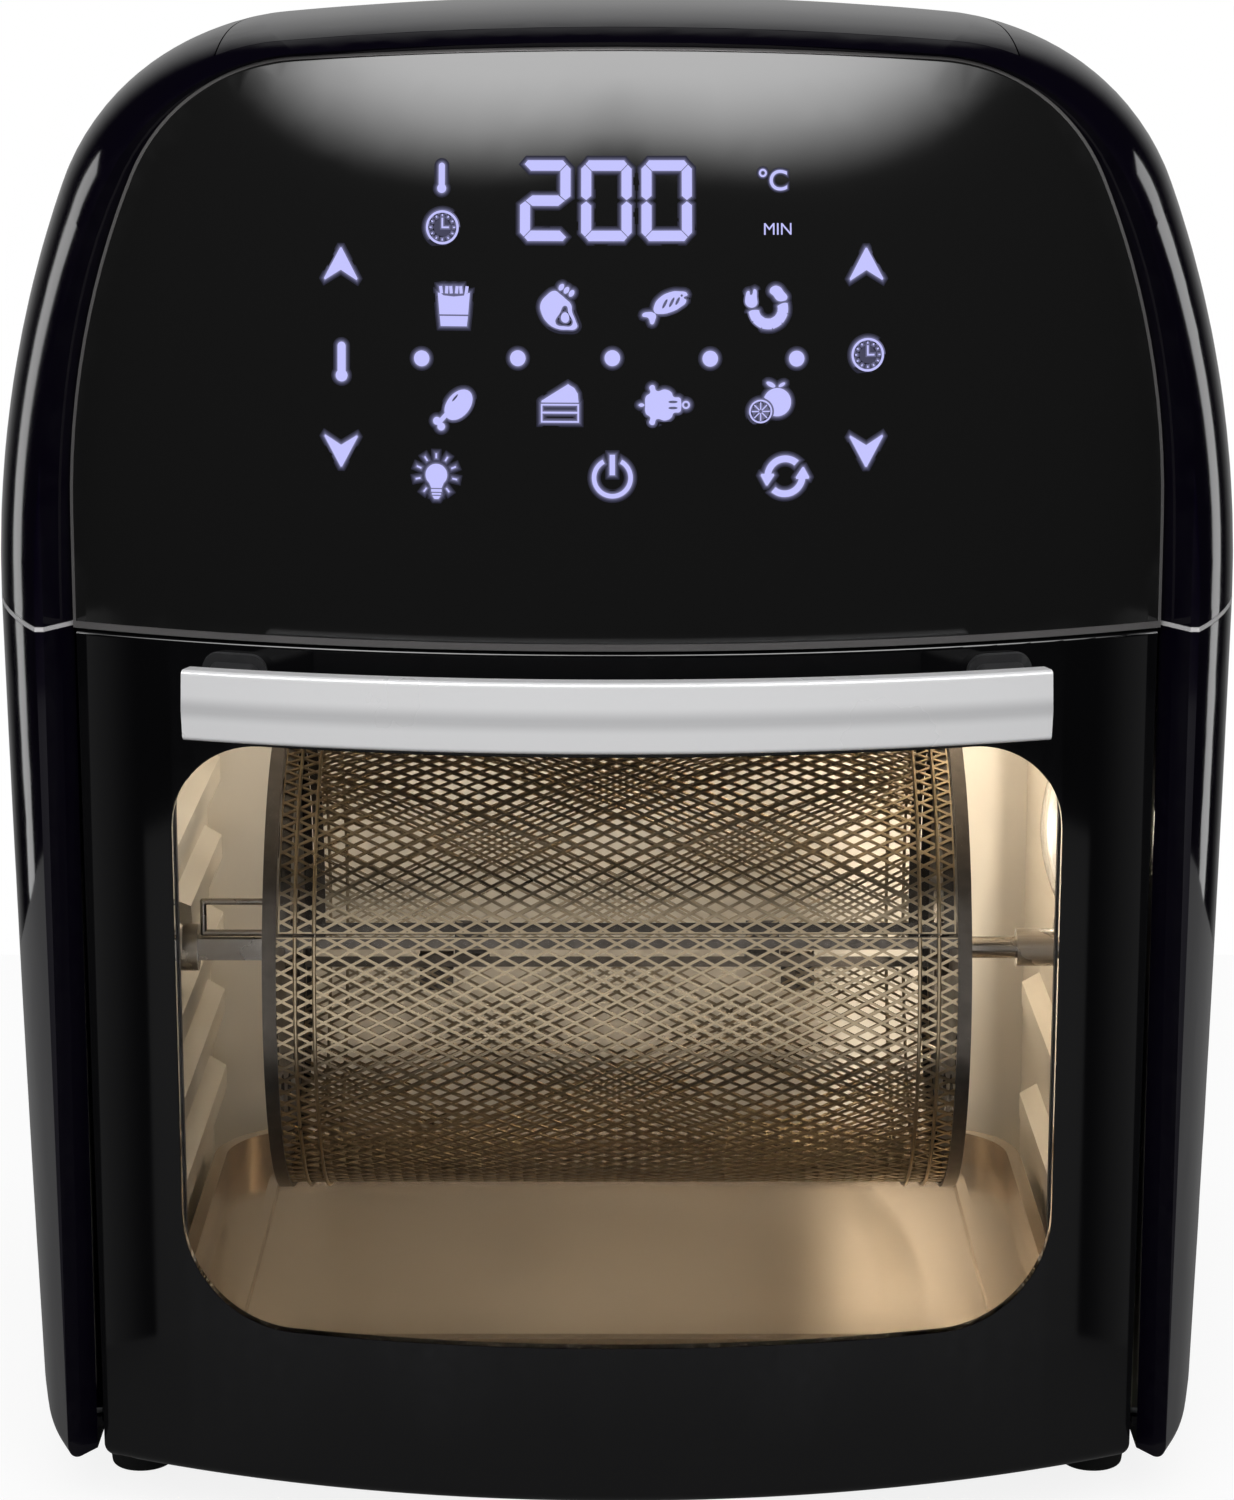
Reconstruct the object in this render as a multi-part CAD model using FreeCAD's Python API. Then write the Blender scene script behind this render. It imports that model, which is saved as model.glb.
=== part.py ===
"""Rotisserie oven with a drop-down glass door and a mesh drum. Millimetres, +Z up, front at -Y."""
import FreeCAD, Part
import math
import os

V = FreeCAD.Vector

# ---- overall casing ----
CASE_BOTTOM = 17.5
SEAM_Z = 232.6
SEAM_GAP = 1.4
FRONT_Y = -115.0
BACK_Y = 170.0
RING_BACK_Y = -95.0
WALL = 2.5
CORNER_R = 4.5
SIDE_TAPER = 4.7
FRONT_FLARE = 2.8
SHOULDER = (285.0, 61.0, 1000.0)
# plan stations: (y, half width, crown height)
STATIONS = [
    (-116, 141.0, 370.3), (-104, 146.3, 373.6), (-90, 151.2, 376.4), (-75, 155.2, 378.2),
    (-60, 157.8, 379.4), (-30, 159.8, 380.6), (0, 160.0, 381.0), (55, 160.0, 380.2),
    (95, 159.2, 377.6), (125, 157.2, 373.2), (148, 152.6, 367.0), (162, 146.6, 360.6),
    (170, 138.5, 353.5),
]
TOP_COVER_HALF = 97.0
TOP_COVER_FRONT = -91.6

# ---- control panel ----
PANEL_HALF = 132.3
PANEL_TOP = 371.0
PANEL_BOTTOM = 233.6
PANEL_ARCH = (260.0, 210.0, 45.0, 1300.0)
PANEL_THICK = 3.0
BOW = 32.0
BOW_HALF = 132.5
BOW_FRONT_Y = -140.0
BOW_R = (BOW_HALF ** 2 + BOW ** 2) / (2 * BOW)
BOW_CY = BOW_FRONT_Y + BOW_R

# ---- door ----
DOOR_TOP = 231.4
DOOR_BOTTOM = 16.4
DOOR_HALF_TOP = 132.4
DOOR_HALF_BOTTOM = 131.0
DOOR_BACK_Y = -96.0
DOOR_WALL = 3.0
HINGE_Y = -112.0
HINGE_Z = 31.0
HINGE_X = 83.0
PIN_R = 2.5
RUN_GAP = 0.05
WINDOW = [(-108.6, 57.3, 28), (108.6, 57.3, 28), (109.2, 206.2, 23), (-109.2, 206.2, 23)]
VIEW_BOTTOM = 39.5
HANDLE_HALF = 102.2
HANDLE_Z = (213.0, 229.8)
HANDLE_FRONT_Y = -170.0
HANDLE_THICK = 7.0

# ---- cooking cavity ----
CAV_HALF = 124.0
CAV_BACK = 106.0
CAV_FLOOR = 28.0
CAV_TOP = 222.0
CAV_FRONT = -91.2
SHEET = 0.8
RAILS_LEFT = (56.0, 80.0, 104.0, 128.0, 152.0)
RAILS_RIGHT = (58.0, 92.0)
LAMP_Y = 25.0
LAMP_Z = 150.0
PLUNGER_Z = 225.2
PLUNGER_R = 1.8

# ---- drum ----
AX_Z = 122.5
DRUM_R = 66.0
DRUM_HALF = 92.5
LID_HINGE_R = 66.6

# ---- fan stack ----
FAN_Y = 8.0
SHAFT_R = 4.0

FEET = [(-126, -71), (126, -71), (-124, 128), (124, 128)]


# ---------------------------------------------------------------- helpers
def box(x0, x1, y0, y1, z0, z1):
    return Part.makeBox(x1 - x0, y1 - y0, z1 - z0, V(x0, y0, z0))


def cyl(r, x, y, z, length, axis="z"):
    d = {"x": V(1, 0, 0), "y": V(0, 1, 0), "z": V(0, 0, 1)}[axis]
    return Part.makeCylinder(r, length, V(x, y, z), d)


def tube(r_out, r_in, x, y, z, length, axis="z"):
    return cyl(r_out, x, y, z, length, axis).cut(cyl(r_in, x, y, z, length, axis))


def fuse(shapes):
    first = shapes[0]
    if len(shapes) == 1:
        return first
    return first.fuse(shapes[1:]).removeSplitter()


def mirror_x(shape):
    return shape.mirror(V(0, 0, 0), V(1, 0, 0))


def both(shape):
    return [shape, mirror_x(shape)]


def rounded_wire(points, place):
    """Closed wire through corner points (u, v, radius); place(u, v) gives the 3D point."""
    n = len(points)
    edges = []
    ends = []
    for i in range(n):
        u, v, r = points[i]
        pu, pv = points[i - 1][0] - u, points[i - 1][1] - v
        nu, nv = points[(i + 1) % n][0] - u, points[(i + 1) % n][1] - v
        lp, ln = math.hypot(pu, pv), math.hypot(nu, nv)
        pu, pv, nu, nv = pu / lp, pv / lp, nu / ln, nv / ln
        half = math.acos(max(-1, min(1, pu * nu + pv * nv))) / 2
        if r <= 0:
            ends.append(((u, v), None, (u, v)))
            continue
        t = r / math.tan(half)
        bu, bv = pu + nu, pv + nv
        lb = math.hypot(bu, bv)
        c = r / math.sin(half) - r
        mid = (u + bu / lb * c, v + bv / lb * c)
        ends.append(((u + pu * t, v + pv * t), mid, (u + nu * t, v + nv * t)))
    for i in range(n):
        a, m, b = ends[i]
        if m is not None:
            edges.append(Part.Arc(place(*a), place(*m), place(*b)).toShape())
        c = ends[(i + 1) % n][0]
        if math.dist(b, c) > 1e-6:
            edges.append(Part.LineSegment(place(*b), place(*c)).toShape())
    return Part.Wire(edges)


def prism_y(points, y0, y1):
    wire = rounded_wire(points, lambda u, v: V(u, y0, v))
    return Part.Face(wire).extrude(V(0, y1 - y0, 0))


def prism_z(points, z0, z1):
    wire = rounded_wire(points, lambda u, v: V(u, v, z0))
    return Part.Face(wire).extrude(V(0, 0, z1 - z0))


def prism_x(points, x0, x1):
    wire = rounded_wire(points, lambda u, v: V(x0, u, v))
    return Part.Face(wire).extrude(V(x1 - x0, 0, 0))


def grow(points, d):
    """Offset an outline that is symmetric about its own centre box by d outwards."""
    us = [p[0] for p in points]
    vs = [p[1] for p in points]
    cu, cv = (min(us) + max(us)) / 2, (min(vs) + max(vs)) / 2
    out = []
    for u, v, r in points:
        du = d if u > cu else -d
        dv = d if v > cv else -d
        out.append((u + du, v + dv, max(r + d, 0.5)))
    return out


def arch_wire(y, w, z0, zs, zt, radii, inset=0.0):
    """Egg-shouldered section: straight sides to zs, side arc, corner arc and crown arc."""
    rs, rc, rt = radii
    s = (w - rs, zs)
    t = (0, zt - rt)
    d = math.dist(s, t)
    a = ((rs - rc) ** 2 - (rt - rc) ** 2 + d * d) / (2 * d)
    h = math.sqrt((rs - rc) ** 2 - a * a)
    ux, uz = (t[0] - s[0]) / d, (t[1] - s[1]) / d
    found = [(s[0] + a * ux - k * h * uz, s[1] + a * uz + k * h * ux) for k in (1, -1)]
    c = max(found, key=sum)

    def unit(p, q):
        length = math.dist(p, q)
        return (q[0] - p[0]) / length, (q[1] - p[1]) / length

    def middle(centre, r, p, q):
        u = unit(centre, ((p[0] + q[0]) / 2, (p[1] + q[1]) / 2))
        return centre[0] + r * u[0], centre[1] + r * u[1]

    us, ut = unit(s, c), unit(t, c)
    low = (w - inset, z0)
    start = (w - inset, zs)
    p1 = (s[0] + (rs - inset) * us[0], s[1] + (rs - inset) * us[1])
    p2 = (t[0] + (rt - inset) * ut[0], t[1] + (rt - inset) * ut[1])
    m1 = middle(s, rs - inset, start, p1)
    m2 = middle(c, rc - inset, p1, p2)
    top = (0, zt - inset)

    def at(p, side=1):
        return V(side * p[0], y, p[1])

    edges = [
        Part.LineSegment(at(low, -1), at(low)).toShape(),
        Part.LineSegment(at(low), at(start)).toShape(),
        Part.Arc(at(start), at(m1), at(p1)).toShape(),
        Part.Arc(at(p1), at(m2), at(p2)).toShape(),
        Part.Arc(at(p2), at(top), at(p2, -1)).toShape(),
        Part.Arc(at(p2, -1), at(m2, -1), at(p1, -1)).toShape(),
        Part.Arc(at(p1, -1), at(m1, -1), at(start, -1)).toShape(),
        Part.LineSegment(at(start, -1), at(low, -1)).toShape(),
    ]
    return Part.Wire(edges)


def upper_solid(inset, z0):
    wires = [arch_wire(y, w, z0, SEAM_Z + 3, zt, SHOULDER, inset) for y, w, zt in STATIONS]
    return Part.makeLoft(wires, True, False)


def lower_wire(y, w, z1, inset):
    """Section of the lower casing between its two sides: tapered, with rounded bottom edges."""
    taper = SIDE_TAPER - FRONT_FLARE * max(0.0, (-75 - y) / 41.0)
    r = CORNER_R
    k = r * (1 - math.sqrt(0.5))
    x_top, x_mid, x_low = w - inset, w - 0.37 * taper - inset, w - taper - inset
    z_low = CASE_BOTTOM + inset
    if inset > 0:
        r = r - inset
        k = r * (1 - math.sqrt(0.5))

    def at(x, z, side=1):
        return V(side * x, y, z)

    edges = [Part.LineSegment(at(x_top, z1, -1), at(x_top, z1)).toShape()]
    edges.append(Part.Arc(at(x_top, z1), at(x_mid, 135), at(x_low, z_low + r)).toShape())
    edges.append(Part.Arc(at(x_low, z_low + r), at(x_low - k, z_low + k),
                          at(x_low - r, z_low)).toShape())
    edges.append(Part.LineSegment(at(x_low - r, z_low), at(x_low - r, z_low, -1)).toShape())
    edges.append(Part.Arc(at(x_low - r, z_low, -1), at(x_low - k, z_low + k, -1),
                          at(x_low, z_low + r, -1)).toShape())
    edges.append(Part.Arc(at(x_low, z_low + r, -1), at(x_mid, 135, -1),
                          at(x_top, z1, -1)).toShape())
    return Part.Wire(edges)


def lower_solid(inset, z1):
    wires = [lower_wire(y, w, z1, inset) for y, w, _ in STATIONS]
    return Part.makeLoft(wires, True, False)


def panel_outline(y0, y1, grow_by, z0):
    zs, rs, rc, rt = PANEL_ARCH
    wire = arch_wire(y0, PANEL_HALF, z0, zs, PANEL_TOP, (rs, rc, rt), -grow_by)
    return Part.Face(wire).extrude(V(0, y1 - y0, 0))


def panel_line(z):
    """Front of the control panel at height z: (centre y, edge y)."""
    t = max(0.0, (z - 233.0) / 137.0)
    return BOW_FRONT_Y + 34 * t ** 2.5, BOW_FRONT_Y + BOW + 10 * t ** 2


def panel_y(x, z):
    yc, ye = panel_line(z)
    s = ye - yc
    r = (BOW_HALF ** 2 + s * s) / (2 * s)
    return yc + r - math.sqrt(r * r - x * x)


def panel_slab(front, back):
    """Curved slab that follows the panel, from front to back of its own face along Y."""
    wires = []
    half = 139.0
    for z in (229, 240, 255, 270, 285, 300, 315, 330, 345, 360, 376):
        f = [V(x, panel_y(abs(x), z) + front, z) for x in (-half, 0, half)]
        b = [V(x, panel_y(abs(x), z) + back, z) for x in (-half, 0, half)]
        wires.append(Part.Wire([
            Part.Arc(f[0], f[1], f[2]).toShape(), Part.LineSegment(f[2], b[2]).toShape(),
            Part.Arc(b[2], b[1], b[0]).toShape(), Part.LineSegment(b[0], f[0]).toShape()]))
    return Part.makeLoft(wires, True, False)


def bow_cyl(r, z0, z1):
    return cyl(r, 0, BOW_CY, z0, z1 - z0)


def save(name, shape):
    for solid in shape.Solids:
        if not solid.isValid():
            print("not valid:", name)
    if isinstance(shape, Part.Compound) and len(shape.Solids) == 1:
        shape = shape.Solids[0]
    shape.exportStep("parts/" + name + ".step")
    b = shape.optimalBoundingBox()
    print("%-22s %2d solids  x %.1f %.1f  y %.1f %.1f  z %.1f %.1f" % (
        name, len(shape.Solids), b.XMin, b.XMax, b.YMin, b.YMax, b.ZMin, b.ZMax))


def compound(shapes):
    return Part.makeCompound([s for shape in shapes for s in shape.Solids])


# ---------------------------------------------------------------- casing
def make_casing():
    z_up = SEAM_Z + SEAM_GAP / 2
    z_dn = SEAM_Z - SEAM_GAP / 2
    outer = upper_solid(0, z_up).common(box(-170, 170, FRONT_Y, BACK_Y, 200, 400))
    inner = upper_solid(WALL, 200).common(box(-170, 170, RING_BACK_Y, BACK_Y + 5, 190, 400))
    shell = outer.cut(inner)
    zs, rs, rc, rt = PANEL_ARCH
    cone = Part.makeLoft([
        arch_wire(-105, PANEL_HALF, 200, zs, PANEL_TOP, (rs, rc, rt), -0.95),
        arch_wire(-119, PANEL_HALF, 200, zs, PANEL_TOP, (rs, rc, rt), -9.5)], True, True)
    shell = shell.cut(panel_outline(-120, -90, 0.95, 200)).cut(cone)
    strip = box(-TOP_COVER_HALF, TOP_COVER_HALF, TOP_COVER_FRONT, BACK_Y + 1, 300, 400)
    slot = box(-TOP_COVER_HALF - 0.4, TOP_COVER_HALF + 0.4, TOP_COVER_FRONT - 0.4,
               BACK_Y + 1, 300, 400)
    save("upper_casing", shell.cut(slot))
    save("top_cover", shell.common(strip))

    low_outer = lower_solid(0, z_dn).common(box(-170, 170, FRONT_Y, BACK_Y, 0, 240))
    low_inner = lower_solid(WALL, 240).common(box(-170, 170, RING_BACK_Y, BACK_Y + 5, 0, 245))
    low = low_outer.cut(low_inner)
    sections = []
    for y, w, _ in STATIONS:
        half = w - 20.5
        corners = [V(half, y, 10), V(half, y, 20.2), V(-half, y, 20.2), V(-half, y, 10)]
        sections.append(Part.makePolygon(corners + corners[:1]))
    low = low.cut(Part.makeLoft(sections, True, True))
    mouth = prism_z([(-DOOR_HALF_TOP - 0.9, -130, 0), (DOOR_HALF_TOP + 0.9, -130, 0),
                     (DOOR_HALF_TOP + 0.9, -90, 0), (-DOOR_HALF_TOP - 0.9, -90, 0)], 0, 240)
    low = low.cut(mouth)
    wedge = prism_z([(130, -105, 0), (133.3, -105, 0), (141.85, -119, 0), (130, -119, 0)], 0, 240)
    low = low.cut(wedge).cut(mirror_x(wedge))
    save("lower_casing_left", low.common(box(-170, 0, -130, 180, 0, 240)))
    save("lower_casing_right", low.common(box(0, 170, -130, 180, 0, 240)))

    ring = upper_solid(-0.05, z_dn + 0.15).common(
        box(-170, 170, FRONT_Y, BACK_Y, z_dn + 0.15, z_up - 0.15))
    ring = ring.cut(box(-133.3, 133.3, -130, RING_BACK_Y, 200, 260))
    plan = [(y, w - 2.4) for y, w, _ in STATIONS if y > -95]
    plan = [(RING_BACK_Y - 1, plan[0][1] - 3)] + plan[:-1] + [(175, plan[-1][1])]
    points = [(w, y, 0) for y, w in plan] + [(-w, y, 0) for y, w in reversed(plan)]
    ring = ring.cut(prism_z(points, 200, 260)).cut(wedge).cut(mirror_x(wedge))
    save("seam_trim", compound(ring.Solids))


def make_rear_and_base():
    up = upper_solid(WALL + 0.4, SEAM_Z - 1).common(box(-170, 170, 163, 166, 200, 400))
    low = lower_solid(WALL + 0.4, SEAM_Z - 1).common(box(-170, 170, 163, 166, 23, 240))
    cover = fuse([up, low])
    for row in range(9):
        for x in (-52, 0, 52):
            z = 252 + row * 9
            cover = cover.cut(prism_y([(x - 20, z - 2, 1.9), (x + 20, z - 2, 1.9),
                                       (x + 20, z + 2, 1.9), (x - 20, z + 2, 1.9)], 160, 170))
    cover = cover.cut(cyl(6.1, 96, 160, 52, 10, "y"))
    spots = [(-118, 60), (118, 100), (-118, 200), (118, 200), (-90, 318), (90, 318), (0, 34)]
    for x, z in spots:
        cover = cover.cut(cyl(1.7, x, 160, z, 10, "y"))
    save("rear_cover", cover)
    screws = []
    for x, z in spots:
        head = cyl(3.2, x, 166.05, z, 2.2, "y").cut(box(x - 0.5, x + 0.5, 167.4, 169, z - 4, z + 4))
        screws.append(fuse([head, cyl(1.5, x, 156, z, 10.2, "y")]))
    save("casing_screws", compound(screws))
    gland = fuse([cyl(8.0, 96, 166.05, 52, 3.9, "y"), cyl(6.0, 96, 155, 52, 11.2, "y"),
                  tube(8.0, 5.9, 96, 161, 52, 1.9, "y")])
    save("cord_gland", gland.cut(cyl(3.7, 96, 150, 52, 30, "y")))

    rim = [(y, w - SIDE_TAPER - 7.5) for y, w, _ in STATIONS if -85 < y < 160]
    rim = [(-88, 137.5)] + rim + [(162, 132)]
    points = [(w, y, 0) for y, w in rim] + [(-w, y, 0) for y, w in reversed(rim)]
    base = prism_z(points, 20.2, 21.7)
    for row in range(5):
        for x in (-55, 0, 55):
            y = 40 + row * 12
            base = base.cut(prism_z([(x - 18, y - 2, 1.9), (x + 18, y - 2, 1.9),
                                     (x + 18, y + 2, 1.9), (x - 18, y + 2, 1.9)], 15, 30))
    for x, y in FEET:
        base = base.cut(cyl(2.1, x, y, 15, 10))
    save("base_plate", base)
    feet = []
    screws = []
    for x, y in FEET:
        pad = Part.makeCone(8.0, 10.0, 17.2, V(x, y, 0))
        pad = pad.makeFillet(1.4, [e for e in pad.Edges if e.BoundBox.ZMax < 0.1])
        foot = fuse([pad, cyl(5.5, x, y, 17.2, 2.95)])
        foot = foot.cut(cyl(4.6, x, y, 0, 8)).cut(cyl(2.1, x, y, 0, 30))
        feet.append(foot)
        head = cyl(3.8, x, y, 5.0, 2.9).cut(box(x - 3, x + 3, y - 0.5, y + 0.5, 4, 6.2))
        screws.append(fuse([head, cyl(2.0, x, y, 7.9, 17)]))
    save("feet", compound(feet))
    save("foot_screws", compound(screws))


# ---------------------------------------------------------------- control panel
def make_panel():
    glass = panel_slab(0, PANEL_THICK).common(panel_outline(-150, -80, 0, PANEL_BOTTOM))
    save("control_panel_glass", glass)
    trim = panel_slab(-0.25, PANEL_THICK + 1.5).common(panel_outline(-150, -80, 0.8, 231.9))
    trim = trim.cut(panel_outline(-160, -70, 0.04, PANEL_BOTTOM - 0.05))
    save("panel_trim", trim)
    carrier = panel_slab(PANEL_THICK + 0.1, PANEL_THICK + 3.1)
    carrier = carrier.common(panel_outline(-150, -60, -3.0, 237))
    hole = prism_y([(-50, 266, 3), (50, 266, 3), (50, 350, 3), (-50, 350, 3)], -160, -60)
    carrier = carrier.cut(hole)
    posts = []
    for x in (-56, 56):
        for z in (270, 344):
            y0 = panel_y(abs(x), z) + PANEL_THICK + 1.5
            posts.append(cyl(3.0, x, y0, z, -106.05 - y0, "y"))
    save("panel_carrier", fuse([carrier] + posts))
    board = box(-62, 62, -106, -104.4, 262, 352)
    chips = [box(-30, 22, -108.4, -106, 326, 350), box(28, 44, -107.2, -106, 300, 316),
             box(-44, -34, -104.4, -96, 300, 330), cyl(5, 40, -104.4, 335, 10, "y"),
             cyl(5, 27, -104.4, 335, 10, "y"), box(-15, 15, -104.4, -100, 280, 292)]
    save("display_board", fuse([board] + chips))


# ---------------------------------------------------------------- door
def door_body(inset, extra_back):
    """Solid door blank: bowed front with a rounded lower edge, cut to the door outline."""
    top, low = DOOR_TOP - inset, DOOR_BOTTOM + inset
    ht, hb = DOOR_HALF_TOP - inset, DOOR_HALF_BOTTOM - inset
    r = BOW_R - inset
    wire = rounded_wire([(r - 90, low, 0), (r, low, max(1.6, 3.4 - inset)), (r, top, 1.2), (r - 90, top, 0)],
                        lambda u, v: V(0, BOW_CY - u, v))
    turned = Part.Face(wire)
    turned.rotate(V(0, BOW_CY, 0), V(0, 0, 1), -40)
    turned = turned.revolve(V(0, BOW_CY, 0), V(0, 0, 1), 80)
    corner = 4.0 - inset / 2
    outline = prism_y([(-hb, low, corner), (hb, low, corner), (ht, top, 0.6), (-ht, top, 0.6)],
                      -150, DOOR_BACK_Y + extra_back)
    return turned.common(outline)


def hinge_notch(x0, x1):
    """Room for a fixed hinge arm while the door turns: open to the back and below."""
    cut = box(x0, x1, HINGE_Y - 6.5, DOOR_BACK_Y + 5, 0, HINGE_Z - 4)
    return fuse([cut, box(x0, x1, HINGE_Y - 5, DOOR_BACK_Y + 5, 10, HINGE_Z + 5.6)])


def make_door():
    panel = door_body(0, 0).cut(door_body(DOOR_WALL, 10))
    window = prism_y(WINDOW, -160, -105)
    panel = panel.cut(window)
    lugs = []
    for x in (HINGE_X - 7.5, HINGE_X + 3.6):
        lug = box(x, x + 3.4, -130, HINGE_Y, DOOR_BOTTOM + 1, HINGE_Z + 5)
        lug = fuse([lug, cyl(5.0, x, HINGE_Y, HINGE_Z, 3.4, "x")])
        lugs.append(lug.common(door_body(1.0, 0)).cut(cyl(PIN_R, x, HINGE_Y, HINGE_Z, 4, "x")))
    spots = [(120, 40), (120, 128), (120, 214), (40, 29), (60, 221)]
    bosses = []
    for x, z in spots:
        boss = cyl(3.6, x, -150, z, 150 - 99.1, "y").common(door_body(1.0, 0))
        bosses.append(boss.cut(cyl(1.2, x, -113, z, 30, "y")))
    panel = fuse([panel] + both(compound(lugs)) + both(compound(bosses)))
    notch = hinge_notch(HINGE_X - 3.9, HINGE_X + 3.5)
    heel = box(-140, 140, DOOR_BACK_Y - 2.2, -90, 0, DOOR_BOTTOM + DOOR_WALL + 0.8)
    panel = panel.cut(notch).cut(mirror_x(notch)).cut(heel)
    save("door_outer_panel", panel)

    glass = bow_cyl(BOW_R - 0.1, 0, 260).cut(bow_cyl(BOW_R - 3.0, 0, 260))
    glass = glass.common(prism_y(grow(WINDOW, -0.15), -160, -105))
    flange = bow_cyl(BOW_R - 3.05, 0, 260).cut(bow_cyl(BOW_R - 4.6, 0, 260))
    flange = flange.common(prism_y(grow(WINDOW, 4.0), -160, -105))
    joint = bow_cyl(BOW_R - 2.5, 0, 260).cut(bow_cyl(BOW_R - 3.5, 0, 260))
    joint = joint.common(prism_y(grow(WINDOW, -0.15), -160, -105))
    save("door_window_glass", fuse([glass, joint, flange]))

    hx, z0, z1 = 128.6, 20.6, 227.6
    frame = prism_y([(-hx + 1, z0, 3), (hx - 1, z0, 3), (hx, z1, 3), (-hx, z1, 3)],
                    DOOR_BACK_Y - 3, DOOR_BACK_Y)
    view = [(-109.6, VIEW_BOTTOM, 20), (109.6, VIEW_BOTTOM, 20)] + grow(WINDOW, 1.0)[2:]
    frame = frame.cut(prism_y(view, -110, -90))
    for x, z in spots:
        for side in (-1, 1):
            frame = frame.cut(cyl(1.7, side * x, -110, z, 20, "y"))
            frame = frame.cut(cyl(3.0, side * x, DOOR_BACK_Y - 1.3, z, 5, "y"))
    frame = frame.cut(notch).cut(mirror_x(notch)).cut(box(-12, 12, DOOR_BACK_Y - 0.5, -90, 222.4, 229))
    save("door_inner_frame", frame)
    pane = [(-114.6, VIEW_BOTTOM - 4, 14), (114.6, VIEW_BOTTOM - 4, 14)] + grow(WINDOW, 6.0)[2:]
    save("door_inner_glass", prism_y(pane, DOOR_BACK_Y - 6.2, DOOR_BACK_Y - 3.1))
    screws = []
    for x, z in spots:
        for side in (-1, 1):
            head = cyl(2.7, side * x, DOOR_BACK_Y - 1.2, z, 1.1, "y")
            screws.append(fuse([head, cyl(1.1, side * x, -109, z, 109 + DOOR_BACK_Y - 1.1, "y")]))
    save("door_screws", compound(screws))

    pins = []
    for side in (-1, 1):
        x0 = HINGE_X - 20 if side > 0 else -HINGE_X - 7.0
        pins.append(cyl(PIN_R, x0, HINGE_Y, HINGE_Z, 27, "x"))
    coil = []
    for i in range(6):
        x = HINGE_X - 18.5 + i * 1.75
        coil.append(Part.makeTorus(4.0, 0.8, V(x, HINGE_Y, HINGE_Z), V(1, 0, 0)))
    for i in range(5):
        x = HINGE_X - 18.5 + i * 1.75
        coil.append(cyl(0.6, x, HINGE_Y, HINGE_Z + 4.0, 1.75, "x"))
    coil.append(cyl(0.7, HINGE_X - 18.5, HINGE_Y - 4.0, HINGE_Z, 14))
    coil.append(cyl(0.7, HINGE_X - 9.75, HINGE_Y - 4.0, HINGE_Z - 9, 9))
    save("hinge_pins", compound(pins))
    save("hinge_springs", compound(both(fuse(coil))))


def make_handle():
    hz0, hz1 = HANDLE_Z
    zc = (hz0 + hz1) / 2
    r_front = BOW_R - (HANDLE_FRONT_Y - BOW_FRONT_Y)
    r_back = r_front - HANDLE_THICK
    half = math.degrees(math.asin(HANDLE_HALF / r_front))
    wire = rounded_wire([(r_back, hz0, 1.5), (r_front - 0.6, hz0, 1.2), (r_front, zc - 1.2, 4),
                         (r_front - 0.6, hz1, 1.2), (r_back, hz1, 1.5)],
                        lambda u, v: V(0, BOW_CY - u, v))
    face = Part.Face(wire)
    face.rotate(V(0, BOW_CY, 0), V(0, 0, 1), -half)
    save("door_handle_bar", face.revolve(V(0, BOW_CY, 0), V(0, 0, 1), 2 * half))
    mounts = []
    for side in (-1, 1):
        x = side * 92.0
        pts = [(x - 6, hz0 + 3.0, 2), (x + 6, hz0 + 3.0, 2), (x + 6, hz1 - 3.0, 2),
               (x - 6, hz1 - 3.0, 2)]
        leg = prism_y(pts, -175, -100)
        leg = leg.common(bow_cyl(r_back - 0.02, 0, 260)).cut(bow_cyl(BOW_R + 0.02, 0, 260))
        shoe = prism_y(grow(pts, 2.0), -175, -100)
        shoe = shoe.common(bow_cyl(BOW_R + 2.5, 0, 260)).cut(bow_cyl(BOW_R + 0.02, 0, 260))
        mounts.append(fuse([leg, shoe]))
    save("handle_mounts", compound(mounts))


# ---------------------------------------------------------------- cavity
def rail(x_wall, side, z, y0, y1):
    """Pressed runner rail standing proud of a side wall."""
    d = 5.0
    wire = Part.makePolygon([
        V(x_wall - side * -0.1, y0, z - 6.5), V(x_wall - side * d, y0, z - 3.5),
        V(x_wall - side * d, y0, z + 3.5), V(x_wall - side * -0.1, y0, z + 6.5),
        V(x_wall - side * -0.1, y0, z - 6.5)])
    return Part.Face(wire).extrude(V(0, y1 - y0, 0))


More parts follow.
